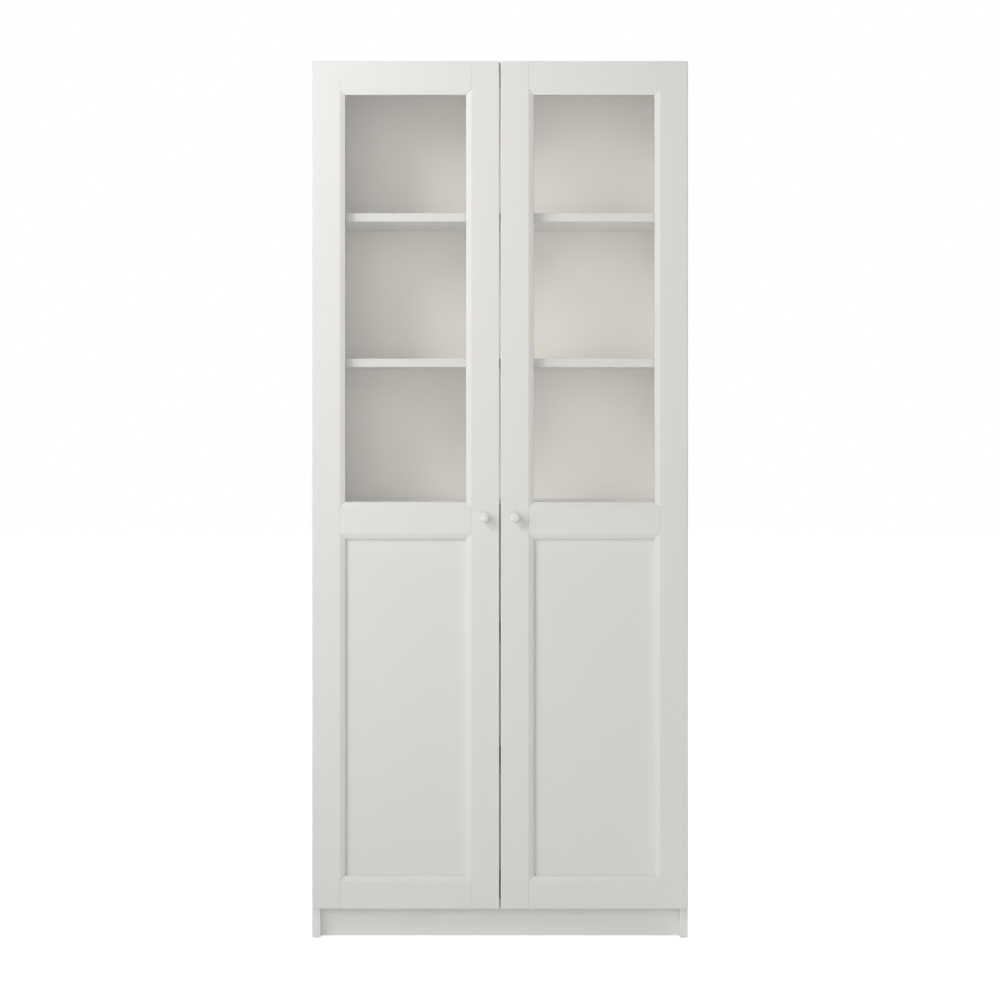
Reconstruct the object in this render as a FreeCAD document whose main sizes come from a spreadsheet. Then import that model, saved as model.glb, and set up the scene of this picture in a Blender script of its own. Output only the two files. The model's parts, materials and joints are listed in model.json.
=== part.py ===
import FreeCAD, Part
import os
import re

import Sketcher

# Free-standing bookcase with a pair of framed doors, glazed above and panelled below.
# Millimetres. +Z is up, the doors face -Y, and the origin is the middle of the outline on the floor.

SIZES = {
    # carcass
    "carcass_width": 800,
    "carcass_height": 1865,
    "carcass_depth": 280,
    "board": 18,
    "board_edge_radius": 0.8,
    "glide_height": 1.5,
    "plinth_height": 66.5,
    "plinth_recess": 16,
    "shelf_setback": 9,
    "shelf_side_gap": 1,
    "shelf_rear_gap": 1,
    "top_compartment": 303.5,
    "shelf_pitch": 310,
    # back panel in its grooves
    "back_thickness": 3,
    "back_recess": 8,
    "back_groove_depth": 6,
    "back_fit": 0.1,
    "back_end_gap": 0.3,
    # shelf pins and their rows of holes
    "pin_radius": 2.5,
    "pin_fit": 0.05,
    "pin_hole_depth": 9,
    "pin_tail": 8,
    "pin_reach": 8,
    "pin_collar_radius": 3.75,
    "pin_collar": 1.2,
    "pin_flat": 1.8,
    "pin_row_front": 37,
    "pin_row_rear_inset": 50,
    "pin_hole_pitch": 32,
    # cam fittings, dowels and nails
    "cam_distance": 34,
    "cam_radius": 7.5,
    "cam_cover": 0.5,
    "cam_row_front": 50,
    "cam_row_rear_inset": 45,
    "fitting_clearance": 0.05,
    "bolt_bore_radius": 4,
    "bolt_thread_radius": 3,
    "bolt_thread_length": 11,
    "bolt_shank_radius": 2.5,
    "bolt_head_radius": 3.5,
    "bolt_head_before": 3,
    "bolt_head_beyond": 1,
    "dowel_radius": 4,
    "dowel_offset": 32,
    "dowel_in_side": 11,
    "dowel_in_board": 19,
    "dowel_chamfer": 1,
    "bore_end_gap": 0.5,
    "plinth_dowel_spread": 14,
    "nail_radius": 0.75,
    "nail_length": 20,
    "nail_head_radius": 2.2,
    "nail_head": 0.8,
    "nail_head_taper": 0.4,
    "nail_end_inset": 30,
    # foot glides
    "glide_width": 16,
    "glide_length": 34,
    "glide_end_flat": 1,
    "glide_front_inset": 20,
    "glide_rear_inset": 24,
    "glide_peg_radius": 3,
    "glide_peg_length": 12,
    # wall brackets
    "bracket_drop": 37,
    "bracket_height": 30,
    "bracket_thickness": 4,
    "bracket_reach": 59,
    "bracket_arm": 44,
    "bracket_corner_radius": 10,
    "bracket_hole_radius": 3.25,
    "bracket_hole_distance": 30,
    "bracket_dish_radius": 9,
    "bracket_dish_depth": 1.5,
    "bracket_screw_spacing": 17,
    "bracket_screw_radius": 1.75,
    "bracket_screw_length": 16,
    # doors
    "door_side_reveal": 1.5,
    "door_meeting_gap": 3,
    "door_top_reveal": 1.5,
    "door_bottom_drop": 1.5,
    "door_gap": 3,
    "door_thickness": 18,
    "door_edge_radius": 2,
    "door_corner_radius": 3,
    "meeting_edge_radius": 1.2,
    "stile_flat": 59,
    "top_rail_flat": 60,
    "middle_rail_flat": 55.6,
    "middle_rail_drop": 5.8,
    "bottom_rail_flat": 58,
    "chamfer_width": 11.5,
    "chamfer_depth": 4,
    "panel_step": 6.8,
    "rebate_width": 8,
    "glass_thickness": 4,
    "glass_edge_gap": 1,
    "panel_thickness": 4,
    "panel_groove": 8,
    "panel_fit": 0.1,
    "panel_edge_gap": 1,
    "frame_dowel_radius": 4,
    "frame_dowel_half_length": 20,
    "frame_dowel_spread": 15,
    # knobs
    "knob_from_edge": 30.8,
    "knob_below_shelf": 25.7,
    "knob_projection": 24,
    "knob_radius": 10.75,
    "knob_neck_radius": 5.5,
    "knob_neck_length": 9,
    "knob_front_radius": 7,
    "knob_rear_radius": 2.5,
    "knob_screw_radius": 2,
    "knob_screw_depth": 12,
    # hinges
    "hinge_end_inset": 100,
    "cup_radius": 17.5,
    "cup_wall": 1,
    "cup_depth": 13,
    "cup_edge_distance": 3,
    "cup_fit": 0.05,
    "cup_flange": 1.2,
    "cup_flange_rim": 1.3,
    "cup_flange_half_height": 31,
    "cup_flange_half_width": 9,
    "cup_screw_offset": 6,
    "cup_screw_spacing": 24,
    "cup_screw_radius": 1.75,
    "cup_screw_length": 9,
    "cup_notch_half_height": 7.2,
    "pivot_from_edge": 7.5,
    "pivot_pin_radius": 1.2,
    "pivot_fit": 0.05,
    "pivot_eye": 1.1,
    "cheek_gap": 0.4,
    "cheek": 1.5,
    "cheek_reach": 2.6,
    "arm_sheet": 2,
    "arm_neck_half_height": 5,
    "arm_channel_web": 1.5,
    "arm_panel_gap": 2,
    "arm_rise": 6.5,
    "arm_slope_start": 4,
    "arm_slope_end": 13,
    "arm_bend_shift": 0.9,
    "arm_channel_lift": 0.8,
    "arm_front_step": 0.1,
    "arm_length": 60,
    "plate_thickness": 2,
    "plate_half_height": 26,
    "plate_half_width": 12,
    "plate_row": 37,
    "plate_screw_spacing": 16,
    "plate_screw_radius": 1.9,
    "plate_screw_length": 14,
    "block_start": 16,
    "block_end": 58,
    "block_fit": 0.2,
    "arm_screw_front": 24,
    "arm_screw_rear": 50,
    "arm_screw_radius": 2.2,
    "arm_screw_length": 8,
    "screw_head": 2.2,
    "screw_head_radius": 3.6,
    "screw_recess_half_length": 2,
    "screw_recess_half_width": 0.5,
    "screw_recess_depth": 1.2,
    # door bumpers
    "bumper_radius": 4,
    "bumper_taper": 1.2,
    "bumper_running_gap": 0.3,
    "bumper_from_centre": 26,
}

# Sizes and places that follow from the values above.
DERIVED = {
    "half_width": "carcass_width / 2",
    "inner_half": "half_width - board",
    "front_plane": "-(carcass_depth - door_gap - door_thickness - knob_projection) / 2",
    "back_inner": "carcass_depth - back_recess - back_thickness",
    "bottom_board": "glide_height + plinth_height",
    "bottom_top": "bottom_board + board",
    "top_board": "carcass_height - board",
    "first_shelf": "top_board - top_compartment - board",
    "second_shelf": "first_shelf - shelf_pitch",
    "fixed_board": "second_shelf - shelf_pitch",
    "fixed_top": "fixed_board + board",
    "lower_pitch": "(fixed_top - bottom_top) / 3",
    "third_shelf": "fixed_board - lower_pitch",
    "fourth_shelf": "third_shelf - lower_pitch",
    "pin_row_rear": "back_inner - pin_row_rear_inset",
    "cam_row_rear": "back_inner - cam_row_rear_inset",
    "cam_height": "board / 2 + bolt_head_radius + cam_cover",
    "glide_rear": "carcass_depth - glide_rear_inset",
    "bracket_top": "top_board - bracket_drop",
    "bracket_middle": "bracket_top - bracket_height / 2",
    "door_width": "(carcass_width - 2 * door_side_reveal - door_meeting_gap) / 2",
    "door_front": "front_plane - door_gap - door_thickness",
    "door_bottom": "bottom_board - door_bottom_drop",
    "door_top": "carcass_height - door_top_reveal",
    "stile_full": "stile_flat + chamfer_width",
    "top_rail_edge": "door_top - top_rail_flat",
    "middle_rail_top": "fixed_top - middle_rail_drop",
    "middle_rail_bottom": "middle_rail_top - middle_rail_flat",
    "bottom_rail_edge": "door_bottom + bottom_rail_flat",
    "glass_open_top": "top_rail_edge - chamfer_width",
    "glass_open_bottom": "middle_rail_top + chamfer_width",
    "panel_open_top": "middle_rail_bottom - chamfer_width",
    "panel_open_bottom": "bottom_rail_edge + chamfer_width",
    "panel_plane": "chamfer_depth + panel_step",
    "glass_back": "panel_plane + glass_thickness",
    "knob_along": "door_width - knob_from_edge",
    "knob_middle": "fixed_top - knob_below_shelf",
    "lowest_hinge": "door_bottom + hinge_end_inset",
    "lower_hinge": "(third_shelf + board + fixed_board) / 2",
    "upper_hinge": "(second_shelf + board + first_shelf) / 2",
    "highest_hinge": "door_top - hinge_end_inset",
    "cup_from_edge": "cup_edge_distance + cup_radius",
    "cup_middle": "door_side_reveal + cup_from_edge",
    "door_back": "-door_gap",
    "pivot_across": "door_side_reveal + pivot_from_edge",
    "pivot_behind": "door_back - door_thickness / 2",
    "cup_floor": "door_back - cup_depth + cup_wall",
    "pivot_eye_radius": "pivot_pin_radius + pivot_eye",
    "arm_face": "board + arm_panel_gap",
    "arm_web": "arm_face + arm_rise",
    "arm_channel_half": "arm_neck_half_height + arm_channel_web",
    "arm_front": "pivot_behind - pivot_eye_radius + arm_front_step",
}

BOARDS = ("bottom_board", "fixed_board", "top_board")
SHELVES = ("first_shelf", "second_shelf", "third_shelf", "fourth_shelf")
HINGES = ("lowest_hinge", "lower_hinge", "upper_hinge", "highest_hinge")
PIN_ROWS = ("pin_row_front", "pin_row_rear")
CAM_ROWS = ("cam_row_front", "cam_row_rear")
DOWEL_ROWS = ("cam_row_front + dowel_offset", "cam_row_rear - dowel_offset")
RAILS = {
    "top_rail": "(door_top + top_rail_edge) / 2",
    "middle_rail": "(middle_rail_top + middle_rail_bottom) / 2",
    "bottom_rail": "(bottom_rail_edge + door_bottom) / 2",
}
PIN_HOLE_STEPS = (-2, -1, 0, 1, 2)
NAILS_PER_LEAF = 4

# Sketch plane across each axis, and which way its normal points along that axis.
PLANES = {"x": ("YZ_Plane", 1), "y": ("XZ_Plane", -1), "z": ("XY_Plane", 1)}

OVERRUN = 1  # how far a cut runs past the face that it opens
SAME_PLACE = 1e-4
SHORTEST_EDGE = 1
LEAST_CUT = 1e-3

document = FreeCAD.newDocument("GlassDoorBookcase")
sizes = document.addObject("Spreadsheet::Sheet", "Sizes")
derived = document.addObject("Spreadsheet::Sheet", "Derived")
nodes = []


def bound(text):
    """Give every named size in an expression the name of the sheet that holds it."""

    def with_sheet(match):
        name = match.group(0)
        if name in SIZES:
            return "Sizes." + name
        if name in DERIVED:
            return "Derived." + name
        raise ValueError("unknown size " + name)

    return re.sub(r"[a-z_]+", with_sheet, text)


def value(text):
    return float(sizes.evalExpression(bound(text)))


def fill_sheets():
    for row, (name, number) in enumerate(SIZES.items(), start=1):
        sizes.set(f"A{row}", name)
        sizes.set(f"B{row}", str(number))
        sizes.setAlias(f"B{row}", name)
    document.recompute()
    for row, (name, formula) in enumerate(DERIVED.items(), start=1):
        derived.set(f"A{row}", name)
        derived.set(f"B{row}", "=" + bound(formula).replace("Derived.", ""))
        derived.setAlias(f"B{row}", name)
    document.recompute()


# Outlines are drawn into a sketch with every point held by a named size.


def hold_point(sketch, edge, end, x, y):
    for kind, text in (("DistanceX", x), ("DistanceY", y)):
        number = sketch.addConstraint(Sketcher.Constraint(kind, -1, 1, edge, end, value(text)))
        sketch.setExpression(f"Constraints[{number}]", bound(text))


def polygon(*points):
    def draw(sketch):
        first = sketch.GeometryCount
        corners = [FreeCAD.Vector(value(x), value(y), 0) for x, y in points]
        count = len(corners)
        for index in range(count):
            sketch.addGeometry(Part.LineSegment(corners[index], corners[(index + 1) % count]))
        for index, (x, y) in enumerate(points):
            following = first + (index + 1) % count
            sketch.addConstraint(Sketcher.Constraint("Coincident", first + index, 2, following, 1))
            hold_point(sketch, first + index, 1, x, y)

    return draw


def rectangle(x_low, y_low, x_high, y_high):
    return polygon((x_low, y_low), (x_high, y_low), (x_high, y_high), (x_low, y_high))


def circle(x, y, radius):
    def draw(sketch):
        centre = FreeCAD.Vector(value(x), value(y), 0)
        edge = sketch.addGeometry(Part.Circle(centre, FreeCAD.Vector(0, 0, 1), value(radius)))
        hold_point(sketch, edge, 3, x, y)
        number = sketch.addConstraint(Sketcher.Constraint("Radius", edge, value(radius)))
        sketch.setExpression(f"Constraints[{number}]", bound(radius))

    return draw


def new_body(label, x="0", y="0", z="0", rotation=None):
    body = document.addObject("PartDesign::Body", "Body")
    body.Label = label
    if rotation:
        body.Placement.Rotation = rotation
    for axis, text in (("x", x), ("y", y), ("z", z)):
        body.setExpression("Placement.Base." + axis, bound(text))
    return body


def new_sketch(body, axis, at, outlines):
    role, sign = PLANES[axis]
    plane = next(item for item in body.Origin.OriginFeatures if item.Role == role)
    sketch = body.newObject("Sketcher::SketchObject", "Sketch")
    sketch.AttachmentSupport = (plane, [""])
    sketch.MapMode = "FlatFace"
    sketch.setExpression("AttachmentOffset.Base.z", bound(f"{sign} * ({at})"))
    for draw in outlines:
        draw(sketch)
    return sketch


def add(body, axis, start, end, *outlines):
    """Pad outlines drawn across an axis from one place on it to a higher one."""
    pad = body.newObject("PartDesign::Pad", "Pad")
    pad.Profile = new_sketch(body, axis, start, outlines)
    pad.setExpression("Length", bound(f"({end}) - ({start})"))
    pad.Reversed = PLANES[axis][1] < 0
    document.recompute()
    return pad


def cut(body, axis, start, end, *outlines):
    """Cut outlines drawn across an axis from one place on it to a higher one."""
    pocket = body.newObject("PartDesign::Pocket", "Pocket")
    pocket.Profile = new_sketch(body, axis, start, outlines)
    pocket.setExpression("Length", bound(f"({end}) - ({start})"))
    pocket.Reversed = PLANES[axis][1] > 0
    document.recompute()
    return pocket


def round_edges(body, radius, wanted):
    """Fillet the edges of the body's last feature that the test picks."""
    tip = body.Tip
    names = [f"Edge{number}" for number, edge in enumerate(tip.Shape.Edges, start=1) if wanted(edge)]
    fillet = body.newObject("PartDesign::Fillet", "Fillet")
    fillet.Base = (tip, names)
    fillet.setExpression("Radius", bound(radius))
    document.recompute()
    return fillet


def runs_along(edge, axis):
    box = edge.BoundBox
    lengths = {"x": box.XLength, "y": box.YLength, "z": box.ZLength}
    straight = all(lengths[other] < SAME_PLACE for other in lengths if other != axis)
    return straight and lengths[axis] > SHORTEST_EDGE


def near(number, text):
    return abs(number - value(text)) < SAME_PLACE


def turned(label, *profile, **place):
    """A body turned about its own X axis, from (distance along the axis, radius) points."""
    body = new_body(label, **place)
    revolution = body.newObject("PartDesign::Revolution", "Revolution")
    sketch = new_sketch(body, "z", "0", [polygon(*profile)])
    revolution.Profile = sketch
    revolution.ReferenceAxis = (sketch, ["H_Axis"])
    document.recompute()
    return body


def keep(node):
    nodes.append(node)
    return node


def group(label, parts):
    compound = document.addObject("Part::Compound", "Group")
    compound.Label = label
    compound.Links = parts
    return keep(compound)


def copies(pattern, places):
    """One link to the pattern piece for each place (x, y, z, rotation)."""
    links = []
    for x, y, z, rotation in places:
        link = document.addObject("App::Link", "Copy")
        link.LinkedObject = pattern
        link.Placement.Rotation = rotation
        for axis, text in (("x", x), ("y", y), ("z", z)):
            link.setExpression("Placement.Base." + axis, bound(text))
        links.append(link)
    return links


def mirrored(label, source):
    mirror = document.addObject("Part::Mirroring", "Mirror")
    mirror.Label = label
    mirror.Source = source
    mirror.Base = FreeCAD.Vector(0, 0, 0)
    mirror.Normal = FreeCAD.Vector(1, 0, 0)
    return keep(mirror)


def both_sides(name, left):
    keep(left)
    mirrored("right_" + name, left)


UPRIGHT = FreeCAD.Rotation()
TURNED_BACK = FreeCAD.Rotation(FreeCAD.Vector(0, 0, 1), 180)  # +X of the pattern to -X
TO_FRONT = FreeCAD.Rotation(FreeCAD.Vector(0, 0, 1), -90)  # +X of the pattern to -Y
UPWARD = FreeCAD.Rotation(FreeCAD.Vector(0, 1, 0), -90)  # +X of the pattern to +Z


# Carcass boards.


def make_side_panels():
    panel = new_body("left_side_panel", x="-half_width", y="front_plane")
    add(panel, "z", "glide_height", "carcass_height", rectangle("0", "0", "board", "carcass_depth"))
    round_edges(
        panel, "board_edge_radius",
        lambda edge: runs_along(edge, "z") and near(edge.BoundBox.YMin, "0"),
    )
    cut(
        panel, "z", f"glide_height - {OVERRUN}", f"carcass_height + {OVERRUN}",
        rectangle(
            "board - back_groove_depth", "back_inner - back_fit",
            f"board + {OVERRUN}", "back_inner + back_thickness + back_fit",
        ),
    )
    pin_holes = [
        circle(row, f"{shelf} - pin_flat + {step} * pin_hole_pitch", "pin_radius + pin_fit")
        for shelf in SHELVES
        for row in PIN_ROWS
        for step in PIN_HOLE_STEPS
    ]
    cut(panel, "x", "board - pin_hole_depth", "board", *pin_holes)
    bolt_holes = [
        circle(row, f"{board} + board / 2", "bolt_thread_radius + fitting_clearance")
        for board in BOARDS
        for row in CAM_ROWS
    ]
    cut(panel, "x", "board - bolt_thread_length - bore_end_gap", "board", *bolt_holes)
    dowel_holes = [
        circle(row, f"{board} + board / 2", "dowel_radius + fitting_clearance")
        for board in BOARDS
        for row in DOWEL_ROWS
    ]
    dowel_holes += [
        circle("plinth_recess + board / 2", height, "dowel_radius + fitting_clearance")
        for height in plinth_dowel_heights()
    ]
    cut(panel, "x", "board - dowel_in_side - bore_end_gap", "board", *dowel_holes)
    plate_holes = [
        circle("plate_row", f"{hinge} {side} plate_screw_spacing", "plate_screw_radius + fitting_clearance")
        for hinge in HINGES
        for side in "+-"
    ]
    cut(panel, "x", "board - plate_screw_length + plate_thickness - bore_end_gap", "board", *plate_holes)
    bracket_holes = [
        circle(row, "bracket_middle", "bracket_screw_radius + fitting_clearance")
        for row in bracket_screw_rows()
    ]
    deepest = "board - bracket_screw_length + bracket_thickness - bore_end_gap"
    cut(panel, "x", deepest, "board", *bracket_holes)
    peg_holes = [
        circle("board / 2", row, "glide_peg_radius + fitting_clearance")
        for row in ("glide_front_inset", "glide_rear")
    ]
    cut(panel, "z", "glide_height", "glide_height + glide_peg_length + bore_end_gap", *peg_holes)
    both_sides("side_panel", panel)


def plinth_dowel_heights():
    middle = "glide_height + plinth_height / 2"
    return [middle + " + plinth_dowel_spread", middle + " - plinth_dowel_spread"]


def bracket_screw_rows():
    first = "back_inner - bracket_thickness - bracket_screw_spacing / 2"
    return [first, first + " - bracket_screw_spacing"]


def bore_both_ends(body, axis_height, rows, radius, depth):
    """Bores along X from both ends of a board that reaches from side to side."""
    bores = [circle(row, axis_height, radius) for row in rows]
    cut(body, "x", "-inner_half", f"-inner_half + {depth}", *bores)
    cut(body, "x", f"inner_half - ({depth})", "inner_half", *bores)


def nail_places():
    """Nail rows in the left leaf of the back, measured along X."""
    inset = "nail_end_inset"
    span = f"(inner_half - 2 * {inset}) / {NAILS_PER_LEAF - 1}"
    return [f"-inner_half + {inset} + {number} * {span}" for number in range(NAILS_PER_LEAF)]


def make_fixed_boards():
    """Top, middle and bottom boards, held to the sides by cams and dowels."""
    for label, board, setback in (
        ("bottom_panel", "bottom_board", "0"),
        ("fixed_shelf", "fixed_board", "shelf_setback"),
        ("top_panel", "top_board", "0"),
    ):
        body = new_body(label, y="front_plane", z=board)
        add(body, "z", "0", "board", rectangle("-inner_half", setback, "inner_half", "back_inner"))
        round_edges(
            body, "board_edge_radius",
            lambda edge: runs_along(edge, "x") and near(edge.BoundBox.YMin, setback),
        )
        cams = [
            circle(f"{side} (inner_half - cam_distance)", row, "cam_radius + fitting_clearance")
            for side in "+-"
            for row in CAM_ROWS
        ]
        cut(body, "z", "0", "cam_height + fitting_clearance", *cams)
        bore_both_ends(body, "board / 2", CAM_ROWS, "bolt_bore_radius", "cam_distance")
        bore_both_ends(
            body, "board / 2", DOWEL_ROWS,
            "dowel_radius + fitting_clearance", "dowel_in_board + bore_end_gap",
        )
        nails = [
            circle(f"{side} ({place})", "board / 2", "nail_radius + fitting_clearance")
            for side in "+-"
            for place in nail_places()
        ]
        cut(body, "y", "back_inner - nail_length", "back_inner", *nails)
        keep(body)


def make_adjustable_shelves():
    for number, shelf in enumerate(SHELVES, start=1):
        body = new_body(f"adjustable_shelf_{number}", y="front_plane", z=shelf)
        half = "inner_half - shelf_side_gap"
        rear = "back_inner - shelf_rear_gap"
        add(body, "z", "0", "board", rectangle(f"-({half})", "shelf_setback", half, rear))
        round_edges(
            body, "board_edge_radius",
            lambda edge: runs_along(edge, "x") and near(edge.BoundBox.YMin, "shelf_setback"),
        )
        keep(body)


def make_plinth():
    body = new_body("plinth_board", y="front_plane + plinth_recess", z="glide_height")
    add(body, "z", "0", "plinth_height", rectangle("-inner_half", "0", "inner_half", "board"))
    for side in "+-":
        bore_both_ends(
            body, f"plinth_height / 2 {side} plinth_dowel_spread", ["board / 2"],
            "dowel_radius + fitting_clearance", "dowel_in_board + bore_end_gap",
        )
    keep(body)


def make_back_panels():
    leaf = new_body("back_panel_left", y="front_plane + back_inner")
    outer = "-inner_half - back_groove_depth + back_end_gap"
    add(
        leaf, "y", "0", "back_thickness",
        rectangle(outer, "bottom_board", "-back_end_gap / 2", "carcass_height"),
    )
    nails = [
        circle(place, f"{board} + board / 2", "nail_radius + fitting_clearance")
        for board in BOARDS
        for place in nail_places()
    ]
    cut(leaf, "y", "0", "back_thickness", *nails)
    cut(
        leaf, "y", "0", "back_thickness",
        circle("-inner_half + bracket_hole_distance", "bracket_middle", "bracket_hole_radius"),
    )
    keep(leaf)
    mirrored("back_panel_right", leaf)


# Fittings of the carcass.


def make_shelf_pins():
    pin = turned(
        "shelf_pin_pattern",
        ("-pin_tail", "0"), ("pin_reach", "0"), ("pin_reach", "pin_radius"), ("pin_collar", "pin_radius"),
        ("pin_collar", "pin_collar_radius"), ("0", "pin_collar_radius"), ("0", "pin_radius"),
        ("-pin_tail", "pin_radius"),
    )
    past_collar = f"(pin_collar_radius + {OVERRUN})"
    cut(
        pin, "x", "0", "pin_reach",
        rectangle(f"-{past_collar}", "pin_flat", past_collar, past_collar),
    )
    places = [
        (f"{side} inner_half", f"front_plane + {row}", f"{shelf} - pin_flat", rotation)
        for side, rotation in (("-", UPRIGHT), ("+", TURNED_BACK))
        for shelf in SHELVES
        for row in PIN_ROWS
    ]
    group("shelf_pins", copies(pin, places))


def make_cam_fittings():
    cam = new_body("cam_lock_pattern")
    add(cam, "z", "0", "cam_height", circle("0", "0", "cam_radius"))
    cut(cam, "x", "-cam_radius", "bolt_head_radius", circle("0", "board / 2", "bolt_head_radius"))
    cut(
        cam, "z", "0", "screw_recess_depth",
        polygon(*cross_outline("2 * screw_recess_half_length", "screw_recess_half_width")),
    )
    head_start = "cam_distance - bolt_head_before"
    head_end = "cam_distance + bolt_head_beyond"
    head_radius = "bolt_head_radius - fitting_clearance"
    bolt = turned(
        "cam_bolt_pattern",
        ("-bolt_thread_length", "0"), (head_end, "0"), (head_end, head_radius),
        (head_start, head_radius), (head_start, "bolt_shank_radius"), ("0", "bolt_shank_radius"),
        ("0", "bolt_thread_radius"), ("-bolt_thread_length", "bolt_thread_radius"),
    )
    sides = (("-", "+", UPRIGHT), ("+", "-", TURNED_BACK))
    cams = [
        (f"{side} inner_half {inward} cam_distance", f"front_plane + {row}", board, rotation)
        for side, inward, rotation in sides
        for board in BOARDS
        for row in CAM_ROWS
    ]
    bolts = [
        (f"{side} inner_half", f"front_plane + {row}", f"{board} + board / 2", rotation)
        for side, inward, rotation in sides
        for board in BOARDS
        for row in CAM_ROWS
    ]
    group("cam_locks", copies(cam, cams))
    group("cam_bolts", copies(bolt, bolts))


def make_carcass_dowels():
    end_radius = "dowel_radius - dowel_chamfer"
    dowel = turned(
        "carcass_dowel_pattern",
        ("-dowel_in_side", "0"), ("dowel_in_board", "0"), ("dowel_in_board", end_radius),
        ("dowel_in_board - dowel_chamfer", "dowel_radius"),
        ("dowel_chamfer - dowel_in_side", "dowel_radius"), ("-dowel_in_side", end_radius),
    )
    joints = [(row, f"{board} + board / 2") for board in BOARDS for row in DOWEL_ROWS]
    joints += [("plinth_recess + board / 2", height) for height in plinth_dowel_heights()]
    places = [
        (f"{side} inner_half", f"front_plane + {row}", height, rotation)
        for side, rotation in (("-", UPRIGHT), ("+", TURNED_BACK))
        for row, height in joints
    ]
    group("carcass_dowels", copies(dowel, places))


def make_back_nails():
    length = "nail_length + back_thickness - bore_end_gap"
    nail = turned(
        "back_nail_pattern",
        ("-nail_head", "0"), (length, "0"), (length, "nail_radius"), ("0", "nail_radius"),
        ("0", "nail_head_radius"), ("-nail_head", "nail_head_radius - nail_head_taper"),
    )
    places = [
        (f"{side} ({place})", "front_plane + back_inner + back_thickness", f"{board} + board / 2", TO_FRONT)
        for side in "+-"
        for board in BOARDS
        for place in nail_places()
    ]
    group("back_panel_nails", copies(nail, places))


def make_foot_glides():
    glide = new_body("foot_glide_pattern")
    add(
        glide, "z", "0", "glide_height",
        rectangle("-glide_width / 2", "-glide_length / 2", "glide_width / 2", "glide_length / 2"),
    )
    round_edges(glide, "(glide_width - glide_end_flat) / 2", lambda edge: runs_along(edge, "z"))
    round_edges(glide, "glide_height / 4", lambda edge: near(edge.BoundBox.ZMax, "0"))
    add(glide, "z", "glide_height", "glide_height + glide_peg_length", circle("0", "0", "glide_peg_radius"))
    places = [
        (f"{side} (half_width - board / 2)", f"front_plane + {row}", "0", UPRIGHT)
        for side in "+-"
        for row in ("glide_front_inset", "glide_rear")
    ]
    group("foot_glides", copies(glide, places))


def make_wall_brackets():
    """Moulded corner brackets that take a wall screw through the back panel."""
    bracket = new_body(
        "wall_bracket_pattern", x="-inner_half", y="front_plane + back_inner", z="bracket_middle",
    )
    half = "bracket_height / 2"
    add(
        bracket, "z", f"-{half}", half,
        polygon(
            ("0", "0"), ("0", "-bracket_arm"), ("bracket_thickness", "-bracket_arm"),
            ("bracket_thickness", "-bracket_thickness"), ("bracket_reach", "-bracket_thickness"),
            ("bracket_reach", "0"),
        ),
    )
    round_edges(
        bracket, "bracket_corner_radius",
        lambda edge: runs_along(edge, "y") and near(edge.BoundBox.XMin, "bracket_reach")
        or runs_along(edge, "x") and near(edge.BoundBox.YMin, "-bracket_arm"),
    )
    cut(
        bracket, "y", "-bracket_thickness", "0",
        circle("bracket_hole_distance", "0", "bracket_hole_radius"),
    )
    cut(
        bracket, "y", "-bracket_thickness", "bracket_dish_depth - bracket_thickness",
        circle("bracket_hole_distance", "0", "bracket_dish_radius"),
    )
    rows = [row + " - back_inner" for row in bracket_screw_rows()]
    cut(
        bracket, "x", "0", "bracket_thickness",
        *[circle(row, "0", "bracket_screw_radius + fitting_clearance") for row in rows],
    )
    group("wall_brackets", [bracket, hidden_mirror(bracket)])
    screw = make_screw("bracket_screw_pattern", "bracket_screw_radius", "bracket_screw_length")
    places = [
        (f"{side} (inner_half - bracket_thickness)", f"front_plane + {row}", "bracket_middle", rotation)
        for side, rotation in (("-", TURNED_BACK), ("+", UPRIGHT))
        for row in bracket_screw_rows()
    ]
    group("wall_bracket_screws", copies(screw, places))


def hidden_mirror(source):
    mirror = mirrored(source.Label + "_opposite", source)
    nodes.remove(mirror)
    return mirror


def cross_outline(half_length, half_width):
    """Twelve corners of a cross recess, arms of one length."""
    far, wide = half_length, half_width
    quarter = [(far, wide), (wide, wide), (wide, far)]
    points = []
    for turn in range(4):
        for x, y in quarter:
            for _ in range(turn):
                x, y = f"-({y})", x
            points.append((x, y))
    return points


def make_screw(label, radius, length):
    """Pan-head screw along +X, its head seated at X = 0 with a cross recess in it."""
    screw = turned(
        label,
        ("-screw_head", "0"), (length, "0"), (f"{length} - 2 * ({radius})", radius), ("0", radius),
        ("0", "screw_head_radius"), ("-screw_head / 2", "screw_head_radius"),
        ("-screw_head", "screw_head_radius / 2"),
    )
    cut(
        screw, "x", "-screw_head", "screw_recess_depth - screw_head",
        polygon(*cross_outline("screw_recess_half_length", "screw_recess_half_width")),
    )
    return screw


def make_door_bumpers():
    thickness = "door_gap - bumper_running_gap"
    bumper = turned(
        "door_bumper_pattern",
        ("0", "0"), (thickness, "0"), (thickness, "bumper_radius - bumper_taper"),
        (f"({thickness}) / 2", "bumper_radius"), ("0", "bumper_radius"),
    )
    places = [
        (f"{side} bumper_from_centre", "front_plane", f"{board} + board / 2", TO_FRONT)
        for side in "+-"
        for board in ("bottom_board", "top_board")
    ]
    group("door_bumpers", copies(bumper, places))


# Doors. X runs from the hinge edge, Y from the front face to the back, Z from the floor.


def door_body(label):
    return new_body(label, x="-half_width + door_side_reveal", y="door_front")


def from_meeting_edge(text):
    return f"door_width - ({text})"


def from_hinge_edge(text):
    return text


def cut_rebate(body):
    """Rebate behind the glass opening, open to the back of the door."""
    edge = "stile_full - rebate_width"
    cut(
        body, "y", "panel_plane", "door_thickness",
        rectangle(
            edge, "glass_open_bottom - rebate_width",
            from_meeting_edge(edge), "glass_open_top + rebate_width",
        ),
    )


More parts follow.
